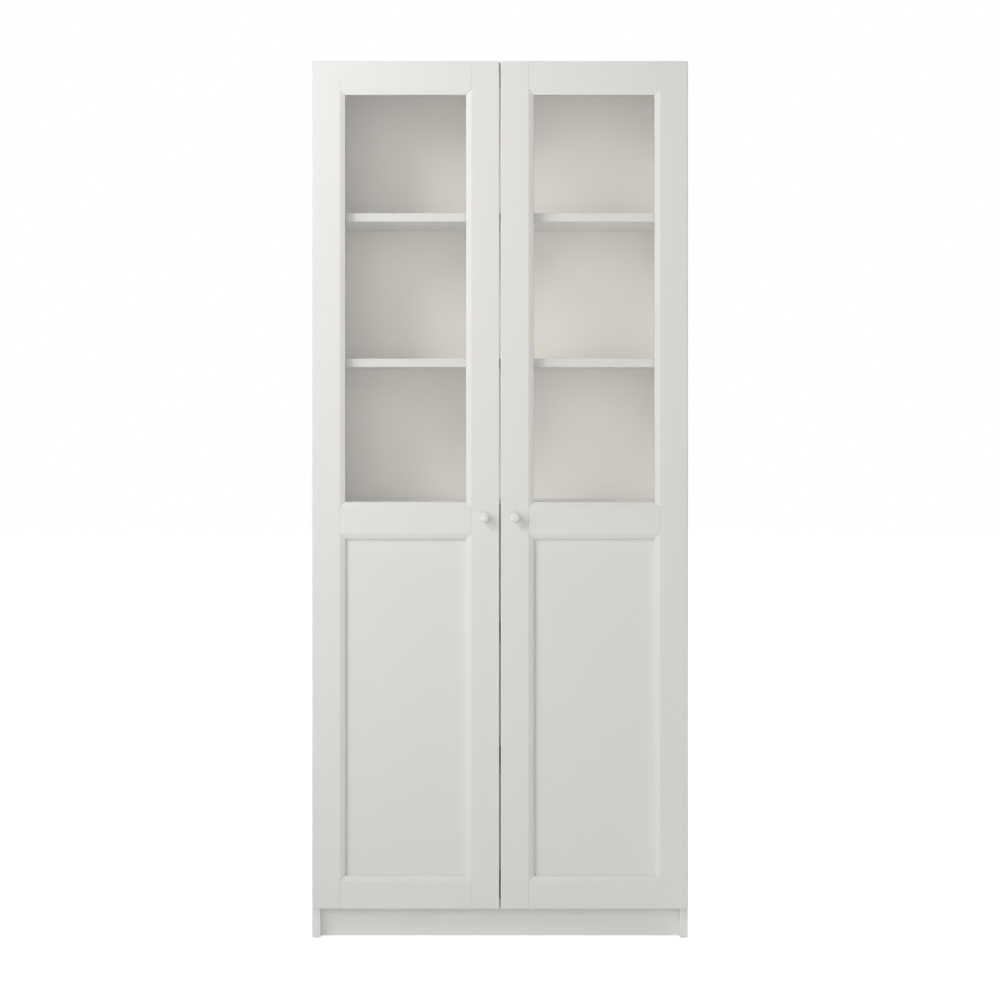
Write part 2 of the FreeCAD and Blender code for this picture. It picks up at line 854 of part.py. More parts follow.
def cut_groove(body):
    """Groove round the lower opening that holds the panel."""
    edge = "stile_full - panel_groove"
    cut(
        body, "y", "panel_plane", "panel_plane + panel_thickness + 2 * panel_fit",
        rectangle(
            edge, "panel_open_bottom - panel_groove",
            from_meeting_edge(edge), "panel_open_top + panel_groove",
        ),
    )


def make_stile(label, across, edge_radius):
    """Full-height stile whose moulded edge stops in mitres at each rail."""
    stile = door_body(label)
    add(
        stile, "z", "door_bottom", "door_top",
        polygon(
            (across("0"), "0"), (across("stile_flat"), "0"), (across("stile_full"), "chamfer_depth"),
            (across("stile_full"), "door_thickness"), (across("0"), "door_thickness"),
        ),
    )
    round_edges(
        stile, "door_corner_radius",
        lambda edge: runs_along(edge, "y") and near(edge.BoundBox.XMin, across("0")),
    )
    round_edges(
        stile, edge_radius,
        lambda edge: runs_along(edge, "z") and near(edge.BoundBox.XMin, across("0")),
    )
    past = f"chamfer_width + {OVERRUN}"
    cut(
        stile, "y", "0", "door_thickness",
        polygon(
            (across("stile_flat"), f"door_top + {OVERRUN}"),
            (across(f"stile_flat + {past}"), f"door_top + {OVERRUN}"),
            (across(f"stile_flat + {past}"), f"top_rail_edge - ({past})"),
            (across("stile_flat"), "top_rail_edge"),
        ),
        polygon(
            (across("stile_flat"), "middle_rail_top"),
            (across(f"stile_flat + {past}"), f"middle_rail_top + {past}"),
            (across(f"stile_flat + {past}"), f"middle_rail_bottom - ({past})"),
            (across("stile_flat"), "middle_rail_bottom"),
        ),
        polygon(
            (across("stile_flat"), "bottom_rail_edge"),
            (across(f"stile_flat + {past}"), f"bottom_rail_edge + {past}"),
            (across(f"stile_flat + {past}"), f"door_bottom - {OVERRUN}"),
            (across("stile_flat"), f"door_bottom - {OVERRUN}"),
        ),
    )
    cut_rebate(stile)
    cut_groove(stile)
    dowel_bores = [
        circle("door_thickness / 2", height, "frame_dowel_radius + fitting_clearance")
        for height in frame_dowel_heights()
    ]
    ends = [across("stile_flat - frame_dowel_half_length - bore_end_gap"), across("stile_flat")]
    cut(stile, "x", *sorted(ends, key=value), *dowel_bores)
    return stile


def rail_dowel_heights(name):
    return [f"{RAILS[name]} {side} frame_dowel_spread" for side in "+-"]


def frame_dowel_heights():
    return [height for name in RAILS for height in rail_dowel_heights(name)]


def make_outer_stile():
    stile = make_stile("left_door_outer_stile", from_hinge_edge, "door_edge_radius")
    cups = [circle("cup_from_edge", hinge, "cup_radius + cup_fit") for hinge in HINGES]
    cut(stile, "y", "door_thickness - cup_depth", "door_thickness", *cups)
    screw_line = "cup_from_edge + cup_screw_offset"
    screws = [
        circle(screw_line, f"{hinge} {side} cup_screw_spacing", "cup_screw_radius + cup_fit")
        for hinge in HINGES
        for side in "+-"
    ]
    cut(stile, "y", "door_thickness - cup_screw_length", "door_thickness", *screws)
    both_sides("door_outer_stile", stile)


def make_inner_stile():
    stile = make_stile("left_door_inner_stile", from_meeting_edge, "meeting_edge_radius")
    cut(
        stile, "y", "0", "door_thickness",
        circle("knob_along", "knob_middle", "knob_screw_radius + fitting_clearance"),
    )
    both_sides("door_inner_stile", stile)


def mitre_cut(edge, away):
    """Corners of the waste beyond a rail's two mitres, below (away -) or above (away +) its edge."""
    past = f"chamfer_width + {OVERRUN}"
    outlines = []
    for across in (from_hinge_edge, from_meeting_edge):
        outlines.append(
            polygon(
                (across(f"stile_flat - {OVERRUN}"), edge),
                (across("stile_flat"), edge),
                (across(f"stile_flat + {past}"), f"{edge} {away} ({past})"),
                (across(f"stile_flat - {OVERRUN}"), f"{edge} {away} ({past})"),
            )
        )
    return outlines


def ease_rail(rail, outer_edge):
    round_edges(
        rail, "meeting_edge_radius",
        lambda edge: runs_along(edge, "x") and near(edge.BoundBox.ZMin, outer_edge),
    )


def finish_rail(name, rail):
    bores = [
        circle("door_thickness / 2", height, "frame_dowel_radius + fitting_clearance")
        for height in rail_dowel_heights(name)
    ]
    depth = "frame_dowel_half_length + bore_end_gap"
    cut(rail, "x", "stile_flat", f"stile_flat + {depth}", *bores)
    cut(rail, "x", from_meeting_edge(f"stile_flat + {depth}"), from_meeting_edge("stile_flat"), *bores)
    both_sides("door_" + name, rail)


def make_rails():
    ends = ("stile_flat", from_meeting_edge("stile_flat"))
    top = door_body("left_door_top_rail")
    add(
        top, "x", *ends,
        polygon(
            ("0", "door_top"), ("0", "top_rail_edge"), ("chamfer_depth", "glass_open_top"),
            ("door_thickness", "glass_open_top"), ("door_thickness", "door_top"),
        ),
    )
    cut(top, "y", "0", "door_thickness", *mitre_cut("top_rail_edge", "-"))
    ease_rail(top, "door_top")
    cut_rebate(top)
    finish_rail("top_rail", top)

    middle = door_body("left_door_middle_rail")
    add(
        middle, "x", *ends,
        polygon(
            ("0", "middle_rail_top"), ("0", "middle_rail_bottom"), ("chamfer_depth", "panel_open_top"),
            ("door_thickness", "panel_open_top"), ("door_thickness", "glass_open_bottom"),
            ("chamfer_depth", "glass_open_bottom"),
        ),
    )
    cut(
        middle, "y", "0", "door_thickness",
        *mitre_cut("middle_rail_top", "+"), *mitre_cut("middle_rail_bottom", "-"),
    )
    cut_rebate(middle)
    cut_groove(middle)
    finish_rail("middle_rail", middle)

    bottom = door_body("left_door_bottom_rail")
    add(
        bottom, "x", *ends,
        polygon(
            ("0", "door_bottom"), ("door_thickness", "door_bottom"),
            ("door_thickness", "panel_open_bottom"), ("chamfer_depth", "panel_open_bottom"),
            ("0", "bottom_rail_edge"),
        ),
    )
    cut(bottom, "y", "0", "door_thickness", *mitre_cut("bottom_rail_edge", "+"))
    ease_rail(bottom, "door_bottom")
    cut_groove(bottom)
    finish_rail("bottom_rail", bottom)


def make_door_infill():
    panel = door_body("left_door_panel")
    edge = "stile_full - panel_groove + panel_edge_gap"
    add(
        panel, "y", "panel_plane + panel_fit", "panel_plane + panel_fit + panel_thickness",
        rectangle(
            edge, "panel_open_bottom - panel_groove + panel_edge_gap",
            from_meeting_edge(edge), "panel_open_top + panel_groove - panel_edge_gap",
        ),
    )
    both_sides("door_panel", panel)

    glass = door_body("left_door_glass")
    edge = "stile_full - rebate_width + glass_edge_gap"
    add(
        glass, "y", "panel_plane", "glass_back",
        rectangle(
            edge, "glass_open_bottom - rebate_width + glass_edge_gap",
            from_meeting_edge(edge), "glass_open_top + rebate_width - glass_edge_gap",
        ),
    )
    both_sides("door_glass", glass)


def make_glazing_beads():
    """Four mitred beads that close the rebate behind the glass."""
    outer = {
        "left": "stile_full - rebate_width",
        "right": from_meeting_edge("stile_full - rebate_width"),
        "low": "glass_open_bottom - rebate_width",
        "high": "glass_open_top + rebate_width",
    }
    inner = {
        "left": "stile_full",
        "right": from_meeting_edge("stile_full"),
        "low": "glass_open_bottom",
        "high": "glass_open_top",
    }
    corners = (("left", "low"), ("right", "low"), ("right", "high"), ("left", "high"))
    beads = []
    for index, (side, level) in enumerate(corners):
        next_side, next_level = corners[(index + 1) % 4]
        bead = door_body(f"glazing_bead_pattern_{index + 1}")
        add(
            bead, "y", "glass_back", "door_thickness",
            polygon(
                (outer[side], outer[level]), (outer[next_side], outer[next_level]),
                (inner[next_side], inner[next_level]), (inner[side], inner[level]),
            ),
        )
        beads.append(bead)
    left = group("left_door_glazing_beads", beads)
    mirrored("right_door_glazing_beads", left)


def make_frame_dowels():
    half = "frame_dowel_half_length"
    end_radius = "frame_dowel_radius - dowel_chamfer"
    dowel = turned(
        "frame_dowel_pattern",
        (f"-{half}", "0"), (half, "0"), (half, end_radius),
        (f"{half} - dowel_chamfer", "frame_dowel_radius"),
        (f"dowel_chamfer - {half}", "frame_dowel_radius"), (f"-{half}", end_radius),
    )
    places = [
        (f"-half_width + door_side_reveal + {joint}", "door_front + door_thickness / 2", height, UPRIGHT)
        for joint in ("stile_flat", from_meeting_edge("stile_flat"))
        for height in frame_dowel_heights()
    ]
    left = group("left_door_frame_dowels", copies(dowel, places))
    mirrored("right_door_frame_dowels", left)


def make_knobs():
    place = {"x": "-half_width + door_side_reveal + knob_along", "z": "knob_middle"}
    knob = turned(
        "left_knob",
        ("0", "0"), ("knob_projection", "0"), ("knob_projection", "knob_radius"),
        ("knob_neck_length", "knob_radius"), ("knob_neck_length", "knob_neck_radius"),
        ("0", "knob_neck_radius"),
        y="door_front", rotation=TO_FRONT, **place,
    )
    round_edges(knob, "knob_front_radius", lambda edge: near(edge.BoundBox.XMin, "knob_projection"))
    round_edges(
        knob, "knob_rear_radius",
        lambda edge: near(edge.BoundBox.XMax, "knob_neck_length")
        and near(edge.BoundBox.ZMax, "knob_radius"),
    )
    cut(
        knob, "x", "0", "knob_screw_depth + bore_end_gap",
        circle("0", "0", "knob_screw_radius + fitting_clearance"),
    )
    both_sides("knob", knob)
    pattern = make_screw("knob_screw_pattern", "knob_screw_radius", "door_thickness + knob_screw_depth")
    screw = group(
        "left_knob_screw",
        copies(pattern, [(place["x"], "door_front + door_thickness", place["z"], TO_FRONT)]),
    )
    mirrored("right_knob_screw", screw)


# Hinges. In each pattern X runs inward from the carcass's outer side, Y back from its front edge,
# and Z is measured from the hinge's own height.


def hinge_group(name, pattern, offsets=(("0", "0", "0"),), rotation=UPRIGHT):
    """Copies of a left-hand hinge piece at every hinge, and their mirror images."""
    places = [
        (f"-half_width + {x}", f"front_plane + {y}", f"{hinge} + {z}", rotation)
        for hinge in HINGES
        for x, y, z in offsets
    ]
    left = group("left_" + name, copies(pattern, places))
    mirrored("right_" + name, left)


def make_hinge_cups():
    cup = new_body("hinge_cup_pattern")
    add(cup, "y", "door_back - cup_depth", "door_back", circle("cup_middle", "0", "cup_radius"))
    flange = ("door_back", "door_back + cup_flange")
    screw_line = "cup_middle + cup_screw_offset"
    add(cup, "y", *flange, circle("cup_middle", "0", "cup_radius + cup_flange_rim"))
    add(
        cup, "y", *flange,
        rectangle(
            f"{screw_line} - cup_flange_half_width", "-cup_flange_half_height",
            f"{screw_line} + cup_flange_half_width", "cup_flange_half_height",
        ),
    )
    cut(cup, "y", "cup_floor", "door_back + cup_flange", circle("cup_middle", "0", "cup_radius - cup_wall"))
    cut(
        cup, "y", *flange,
        rectangle("0", "-cup_notch_half_height", "pivot_across", "cup_notch_half_height"),
    )
    inner_face = "arm_neck_half_height + cheek_gap"
    cheek_outline = rectangle(
        "pivot_across - cheek_reach", "cup_floor - cup_wall / 2",
        "pivot_across + cheek_reach", "pivot_behind + cheek_reach",
    )
    add(cup, "z", inner_face, f"{inner_face} + cheek", cheek_outline)
    add(cup, "z", f"-({inner_face} + cheek)", f"-({inner_face})", cheek_outline)
    half_pin = f"{inner_face} + cheek"
    cut(
        cup, "z", f"-({half_pin})", half_pin,
        circle("pivot_across", "pivot_behind", "pivot_pin_radius + pivot_fit"),
    )
    holes = [circle(screw_line, f"{side} cup_screw_spacing", "cup_screw_radius + cup_fit") for side in "+-"]
    cut(cup, "y", *flange, *holes)
    hinge_group("hinge_cups", cup)

    pin = turned(
        "hinge_pin_pattern",
        (f"-({half_pin})", "0"), (half_pin, "0"), (half_pin, "pivot_pin_radius"),
        (f"-({half_pin})", "pivot_pin_radius"),
    )
    hinge_group("hinge_pins", pin, [("pivot_across", "pivot_behind", "0")], UPWARD)

    screw = make_screw("cup_screw_pattern", "cup_screw_radius", "cup_screw_length")
    seats = [(screw_line, "door_back + cup_flange", f"({side} cup_screw_spacing)") for side in "+-"]
    hinge_group("hinge_cup_screws", screw, seats, TO_FRONT)


def make_hinge_arms():
    """Cranked arm: an eye on the pin, a neck round the door's edge, and a channel over the block."""
    arm = new_body("hinge_arm_pattern")
    neck = ("-arm_neck_half_height", "arm_neck_half_height")
    outer_face = "arm_face + arm_sheet"
    top_face = "arm_web + arm_sheet"
    slope_end = "arm_slope_end + arm_bend_shift"
    add(
        arm, "z", *neck,
        polygon(
            ("pivot_across", "arm_front"), (outer_face, "arm_front"), (outer_face, "arm_slope_start"),
            (top_face, "arm_slope_end"), (top_face, "arm_length"), ("arm_web", "arm_length"),
            ("arm_web", slope_end), ("arm_face", "arm_slope_start + arm_bend_shift"),
            ("arm_face", "arm_front + arm_sheet"), ("pivot_across", "arm_front + arm_sheet"),
        ),
    )
    round_edges(
        arm, "arm_sheet",
        lambda edge: runs_along(edge, "z") and near(edge.BoundBox.XMin, outer_face)
        and near(edge.BoundBox.YMin, "arm_front"),
    )
    add(arm, "z", *neck, circle("pivot_across", "pivot_behind", "pivot_eye_radius"))
    channel_wall = rectangle("arm_face + arm_channel_lift", slope_end, top_face, "arm_length")
    add(arm, "z", "arm_neck_half_height", "arm_channel_half", channel_wall)
    add(arm, "z", "-arm_channel_half", "-arm_neck_half_height", channel_wall)
    cut(arm, "z", *neck, circle("pivot_across", "pivot_behind", "pivot_pin_radius + pivot_fit"))
    screw_rows = ("arm_screw_front", "arm_screw_rear")
    holes = [circle(row, "0", "arm_screw_radius + fitting_clearance") for row in screw_rows]
    cut(arm, "x", "arm_web", top_face, *holes)
    hinge_group("hinge_arms", arm)

    plate = new_body("mounting_plate_pattern")
    add(
        plate, "x", "board", "board + plate_thickness",
        rectangle(
            "plate_row - plate_half_width", "-plate_half_height",
            "plate_row + plate_half_width", "plate_half_height",
        ),
    )
    round_edges(plate, "plate_half_width / 2", lambda edge: runs_along(edge, "x"))
    block_half = "arm_neck_half_height - block_fit"
    add(
        plate, "x", "board", "arm_web",
        rectangle("block_start", f"-({block_half})", "block_end", block_half),
    )
    screws = [
        circle("plate_row", f"{side} plate_screw_spacing", "plate_screw_radius + fitting_clearance")
        for side in "+-"
    ]
    cut(plate, "x", "board", "board + plate_thickness", *screws)
    depth = "arm_web - arm_screw_length + arm_sheet - block_fit"
    cut(plate, "x", depth, "arm_web", *holes)
    hinge_group("hinge_plates", plate)

    plate_screw = make_screw("plate_screw_pattern", "plate_screw_radius", "plate_screw_length")
    seats = [("board + plate_thickness", "plate_row", f"({side} plate_screw_spacing)") for side in "+-"]
    hinge_group("hinge_plate_screws", plate_screw, seats, TURNED_BACK)

    arm_screw = make_screw("arm_screw_pattern", "arm_screw_radius", "arm_screw_length")
    seats = [(top_face, row, "0") for row in screw_rows]
    hinge_group("hinge_arm_screws", arm_screw, seats, TURNED_BACK)


def check_document():
    document.recompute()
    for item in document.Objects:
        if "Invalid" in item.State or "Error" in item.State:
            raise RuntimeError(f"{item.Label} ({item.Name}) failed: {item.State}")
        if item.isDerivedFrom("PartDesign::Pocket"):
            if item.Shape.Volume >= item.BaseFeature.Shape.Volume - LEAST_CUT:
                raise RuntimeError(f"{item.Name} cuts nothing")
    for node in nodes:
        if node.Shape.isNull() or not node.Shape.isValid() or node.Shape.Volume <= 0:
            raise RuntimeError(f"{node.Label} has no valid shape")


def write_parts():
    os.makedirs("parts", exist_ok=True)
    for node in nodes:
        node.Shape.exportStep(f"parts/{node.Label}.step")


fill_sheets()
make_side_panels()
make_fixed_boards()
make_adjustable_shelves()
make_plinth()
make_back_panels()
make_shelf_pins()
make_cam_fittings()
make_carcass_dowels()
make_back_nails()
make_foot_glides()
make_wall_brackets()
make_door_bumpers()
make_outer_stile()
make_inner_stile()
make_rails()
make_door_infill()
make_glazing_beads()
make_frame_dowels()
make_knobs()
make_hinge_cups()
make_hinge_arms()
check_document()
write_parts()
print(len(nodes), "nodes written")
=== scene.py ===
import json
import math

import bmesh
import bpy
from mathutils import Matrix, Vector


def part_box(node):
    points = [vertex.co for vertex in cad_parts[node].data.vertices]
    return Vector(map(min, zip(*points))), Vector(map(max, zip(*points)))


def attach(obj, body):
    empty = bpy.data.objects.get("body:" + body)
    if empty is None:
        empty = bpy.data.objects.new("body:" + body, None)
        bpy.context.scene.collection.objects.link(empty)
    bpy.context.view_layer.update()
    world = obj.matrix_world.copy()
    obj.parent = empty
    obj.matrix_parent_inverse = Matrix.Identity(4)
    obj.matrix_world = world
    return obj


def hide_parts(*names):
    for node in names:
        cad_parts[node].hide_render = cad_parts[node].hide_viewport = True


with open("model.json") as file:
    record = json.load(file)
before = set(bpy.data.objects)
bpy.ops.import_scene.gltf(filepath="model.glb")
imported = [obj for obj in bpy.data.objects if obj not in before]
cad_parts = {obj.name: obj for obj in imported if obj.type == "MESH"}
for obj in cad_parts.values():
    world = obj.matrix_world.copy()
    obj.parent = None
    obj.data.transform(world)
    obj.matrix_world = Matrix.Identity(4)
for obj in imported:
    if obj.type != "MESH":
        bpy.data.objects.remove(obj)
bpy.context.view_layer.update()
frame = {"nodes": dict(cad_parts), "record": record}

bl_info = {
    "name": "Glass-Door Bookcase",
    "version": (1, 0, 0),
    "blender": (4, 5, 0),
    "location": "3D View > Sidebar > Bookcase",
    "description": "Surfaces, fittings and studio of a bookcase with a pair of framed glass doors",
    "category": "Object",
}

BODY_OF = {node: body for body, nodes in frame["record"]["behaviour"]["bodies"].items() for node in nodes}
SIDES = ("left", "right")
MM = 0.001

# Corners nearer than this are one, and a turn up to FLAT_ANGLE isn't an edge. An edge is hard from
# SHARP_ANGLE on, and from SLIGHT_ANGLE on where it lies between faces at least BROAD_FACE wide.
# A face's normal lies on an axis, or halfway between two, when it is off by less than AXIS_SLACK.
WELD = 2e-6
FLAT_ANGLE = math.radians(0.5)
SHARP_ANGLE = math.radians(25)
SLIGHT_ANGLE = math.radians(12)
BROAD_FACE = 3 * MM
AXIS_SLACK = 0.01

# How deep a finish that belongs to one face goes, and the reflection of a satin one.
SKIN = 0.3 * MM
SATIN = 0.45

# Place and diameter of each lamp, in metres, with the point that they face.
LAMPS = {
    "front": ((0, -5.5, 1.6), 4.0),
    "side": ((-4.2, -2.6, 2.0), 2.0),
    "low": ((-2.2, -2.6, 1.2), 1.2),
    "high": ((-1.3, -1.6, 2.3), 0.8),
    "rear": ((2.8, 2.8, 3.8), 3.0),
}
LAMP_AIM = Vector((0, -0.1, 1.0))
CAMERA_PLACE = (0, -4.7335, 1.1504)
CAMERA_LENS = 78.05
CAMERA_SHIFT = -0.1025
FLOOR_REACH = 14.0
GLOW_START, GLOW_END = 1.0, 3.5


# Node trees. One class adds every node, and one writes sums on their sockets as expressions.


def maths(operation, swapped=False):
    """A method that puts a number and another through a Math node, in that order or swapped."""

    def method(self, other):
        pair = (other, self) if swapped else (self, other)
        return self.tree.number("ShaderNodeMath", 0, {"operation": operation}, dict(enumerate(pair)))

    return method


class Number:
    """A number that a node tree works out, so that maths on it can be written as maths."""

    def __init__(self, tree, socket):
        self.tree = tree
        self.socket = socket

    at_least = maths("MAXIMUM")
    __add__ = maths("ADD")
    __radd__ = maths("ADD", True)
    __sub__ = maths("SUBTRACT")
    __rsub__ = maths("SUBTRACT", True)
    __mul__ = maths("MULTIPLY")
    __rmul__ = maths("MULTIPLY", True)
    __truediv__ = maths("DIVIDE")
    __gt__ = maths("GREATER_THAN")
    __lt__ = maths("LESS_THAN")


class Tree:
    """A shader or geometry node tree that is built up from Python."""

    def __init__(self, tree):
        self.tree = tree
        tree.nodes.clear()

    def feed(self, socket, given):
        if isinstance(given, Number):
            given = given.socket
        if isinstance(given, bpy.types.NodeSocket):
            self.tree.links.new(given, socket)
        else:
            socket.default_value = given

    def node(self, kind, settings=None, inputs=None):
        made = self.tree.nodes.new(kind)
        for name, setting in (settings or {}).items():
            if name == "stops":
                ramp = made.color_ramp.elements
                while len(ramp) < len(setting):
                    ramp.new(0.5)
                for stop, (position, level) in zip(ramp, setting):
                    stop.position = position
                    stop.color = (level, level, level, 1)
            else:
                setattr(made, name, setting)
        for name, given in (inputs or {}).items():
            for value in given if isinstance(given, list) else [given]:
                self.feed(made.inputs[name], value)
        return made

    def first(self, kind, inputs, settings=None):
        """The first output of a new node."""
        return self.node(kind, settings, inputs).outputs[0]

    def number(self, kind, output, settings=None, inputs=None):
        return Number(self, self.node(kind, settings, inputs).outputs[output])


class Finish(Tree):
    """The material of one finish, drawn in the bookcase's own coordinates."""

    def __init__(self, name):
        self.material = bpy.data.materials.get(name) or bpy.data.materials.new(name)
        self.material.use_nodes = True
        super().__init__(self.material.node_tree)
        self.colours = bpy.context.scene.bookcase_colours
        self.place = self.node("ShaderNodeTexCoord").outputs["Object"]
        split = self.node("ShaderNodeSeparateXYZ", None, {"Vector": self.place})
        self.x, self.y, self.z = (Number(self, split.outputs[axis]) for axis in "XYZ")

    def noise(self, per_metre, detail=2.0, stretch=(1, 1, 1), roughness=0.5):
        place = self.first("ShaderNodeMapping", {"Vector": self.place, "Scale": stretch})
        settings = {"Vector": place, "Scale": per_metre, "Detail": detail, "Roughness": roughness}
        return self.number("ShaderNodeTexNoise", "Fac", None, settings)

    def between(self, factor, first, second):
        """The first colour where the factor is 0, the second where it is 1."""
        mix = self.node("ShaderNodeMix", {"data_type": "RGBA"}, {0: factor, 6: first, 7: second})
        return mix.outputs[2]

    def shades(self, factor, colour, low, high):
        """One colour, from its low level where the factor is 0 to its high one where it is 1."""
        return self.between(factor, opaque(colour, low), opaque(colour, high))

    def ramp(self, factor, *stops):
        return self.number("ShaderNodeValToRGB", "Color", {"stops": stops}, {0: factor})

    def bump(self, height, depth):
        return self.first("ShaderNodeBump", {"Height": height, "Distance": depth})

    def surface(self, **sockets):
        """A Principled shader with the given sockets, led to the output."""
        named = {name.replace("_", " "): given for name, given in sockets.items()}
        self.end_in(self.first("ShaderNodeBsdfPrincipled", named))
        return self.material

    def end_in(self, shader):
        self.node("ShaderNodeOutputMaterial", None, {"Surface": shader})


def opaque(colour, level=1.0):
    return (colour[0] * level, colour[1] * level, colour[2] * level, 1)


# Finishes.


def white_foil(name, raw_edge=None, band_front=None):
    """Satin foil on chipboard. The raw edge is the test for where the boards are left bare.

    The edge band covers what lies in front of band_front. Its grey, well below the foil, is painted shade
    for the dimmer light on the shelf fronts behind the doors.
    """
    finish = Finish(name)
    drift = finish.noise(2.2, 3)
    pores = finish.noise(1500, 2, (1, 1, 0.12))
    colour = finish.shades(drift, finish.colours.foil, 0.985, 1.01)
    roughness = 0.42 + 0.08 * finish.noise(35, 3) + 0.05 * pores
    height = pores
    if band_front is not None:
        # The front edges take the edge band's darker grey, which is painted shade, not the band's own
        # tone.
        band = finish.y < band_front + SKIN
        colour = finish.between(band, colour, opaque(finish.colours.shaded_edge_band))
    if raw_edge:
        bare = raw_edge(finish)
        chips = finish.number(
            "ShaderNodeTexVoronoi", "Color", {"feature": "F1"},
            {"Vector": finish.place, "Scale": 420.0, "Randomness": 1.0},
        )
        grit = finish.ramp(chips * 0.6 + finish.noise(900, 4) * 0.4, (0.25, 0.0), (0.75, 1.0))
        wood = finish.shades(grit, finish.colours.chipboard, 0.62, 1.15)
        colour = finish.between(bare, colour, wood)
        roughness = roughness + bare * 0.35
        height = pores * (1 - bare) + grit * bare * 6
    return finish.surface(
        Base_Color=colour,
        Roughness=roughness,
        Normal=finish.bump(height, 0.02 * MM),
        Specular_IOR_Level=SATIN,
    )


def side_raw_edge(finish):
    low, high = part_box("left_side_panel")
    behind = finish.y > high.y - SKIN
    beneath = finish.z < low.z + SKIN
    return behind.at_least(beneath)


def door_lacquer(name, level=1.0):
    """Sprayed satin lacquer with the faint ripple that a spray gun leaves."""
    finish = Finish(name)
    drift = finish.noise(1.7, 3)
    ripple = finish.noise(420)
    fine = finish.noise(2600, 1)
    return finish.surface(
        Base_Color=finish.shades(drift, finish.colours.lacquer, 0.985 * level, 1.012 * level),
        Roughness=0.36 + 0.10 * finish.noise(14, 3) + 0.04 * fine,
        Normal=finish.bump(ripple + 0.25 * fine, 0.025 * MM),
        Specular_IOR_Level=SATIN,
    )


def hardboard():
    """White print on the side that faces the shelves, bare brown fibre behind."""
    finish = Finish("back_hardboard")
    behind = finish.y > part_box("back_panel_left")[0].y + 0.5 * MM
    drift = finish.noise(2.6, 3)
    print_grain = finish.noise(700, 3, (1, 1, 0.05))
    white = finish.shades(drift, finish.colours.back, 0.975, 1.015)
    fibres = finish.ramp(
        0.55 * finish.noise(260, 5, (1, 1, 0.5), 0.7) + 0.45 * finish.noise(38, 4), (0.3, 0.0), (0.7, 1.0)
    )
    brown = finish.shades(fibres, finish.colours.hardboard, 0.8, 1.12)
    mesh_print = finish.number(
        "ShaderNodeTexWave", "Fac", {"wave_type": "BANDS", "bands_direction": "DIAGONAL"},
        {"Vector": finish.place, "Scale": 300.0, "Distortion": 0.6},
    )
    return finish.surface(
        Base_Color=finish.between(behind, white, brown),
        Roughness=0.5 + behind * 0.28 + 0.06 * print_grain,
        Normal=finish.bump(print_grain * (1 - behind) + behind * (fibres * 3 + mesh_print), 0.02 * MM),
        Specular_IOR_Level=0.4,
    )


def clear_glass():
    """Clear pane that lets the lamps' light through."""
    finish = Finish("clear_glass")
    wave = finish.noise(1.3)
    pane = finish.first(
        "ShaderNodeBsdfPrincipled",
        {
            "Base Color": opaque(finish.colours.glass), "Roughness": 0.01 + 0.012 * finish.noise(22, 3),
            "IOR": 1.45, "Transmission Weight": 1.0, "Normal": finish.bump(wave, 0.2 * MM),
        },
    )
    through = finish.first("ShaderNodeBsdfTransparent", {"Color": opaque(finish.colours.glass)})
    ray = finish.node("ShaderNodeLightPath").outputs
    unseen = Number(finish, ray["Is Shadow Ray"]).at_least(ray["Is Diffuse Ray"])
    finish.end_in(finish.first("ShaderNodeMixShader", {0: unseen, 1: pane, 2: through}))
    return finish.material


def moulded_plastic():
    """Injection-moulded plastic with a fine spark-eroded skin."""
    finish = Finish("white_plastic")
    colour = finish.colours.plastic
    skin = finish.noise(1800)
    return finish.surface(
        Base_Color=finish.shades(finish.noise(30), colour, 0.98, 1.01),
        Roughness=0.42 + 0.1 * skin,
        Normal=finish.bump(skin, 0.02 * MM),
    )


def clear_bumper():
    finish = Finish("clear_bumper")
    return finish.surface(
        Base_Color=finish.shades(finish.noise(400), finish.colours.bumper, 0.95, 1.0),
        Roughness=0.18 + 0.1 * finish.noise(300),
        Transmission_Weight=0.6,
        IOR=1.45,
    )


def plated_steel():
    """Bright nickel plate with fine drawing marks and a slight haze."""
    finish = Finish("nickel_steel")
    haze = finish.noise(70, 4)
    marks = finish.noise(2400, 2, (0.15, 1, 1))
    return finish.surface(
        Base_Color=finish.shades(haze, finish.colours.nickel, 0.9, 1.03),
        Metallic=1.0,
        Roughness=0.2 + 0.12 * haze + 0.08 * marks,
        Normal=finish.bump(marks, 0.008 * MM),
    )


def cast_zinc():
    finish = Finish("zinc_casting")
    sand = finish.noise(1300, 3)
    return finish.surface(
        Base_Color=finish.shades(finish.noise(90, 3), finish.colours.zinc, 0.85, 1.05),
        Metallic=1.0,
        Roughness=0.42 + 0.16 * sand,
        Normal=finish.bump(sand, 0.04 * MM),
    )


def beech():
    """Pale beech with its grain along X and the short dark flecks of its rays."""
    finish = Finish("beech_dowel")
    colour = finish.colours.beech
    grain = finish.noise(900, 4, (0.08, 1, 1))
    flecks = finish.ramp(finish.noise(1500, 2, (0.2, 1, 1)), (0.56, 0.0), (0.66, 1.0))
    wood = finish.shades(grain, colour, 0.85, 1.1)
    return finish.surface(
        Base_Color=finish.between(flecks * 0.5, wood, opaque(colour, 0.55)),
        Roughness=0.6 + 0.12 * grain,
        Normal=finish.bump(grain, 0.05 * MM),
    )


# Pieces.


def put(name, data):
    """A new object in the scene, in place of an old one of that name."""
    old = bpy.data.objects.get(name)
    if old:
        bpy.data.objects.remove(old)
    made = bpy.data.objects.new(name, data)
    bpy.context.scene.collection.objects.link(made)
    return made


def place_piece(name, mesh, material, *nodes):
    """A finished piece that stands for CAD nodes of one body and rides on that body."""
    made = put(name, mesh)
    mesh.materials.clear()
    mesh.materials.append(material)
    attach(made, BODY_OF[nodes[0]])
    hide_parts(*nodes)
    return made


def finish_node(node, material):
    """A CAD node that stays, with a better material."""
    slots = frame["nodes"][node].data.materials
    slots.clear()
    slots.append(material)


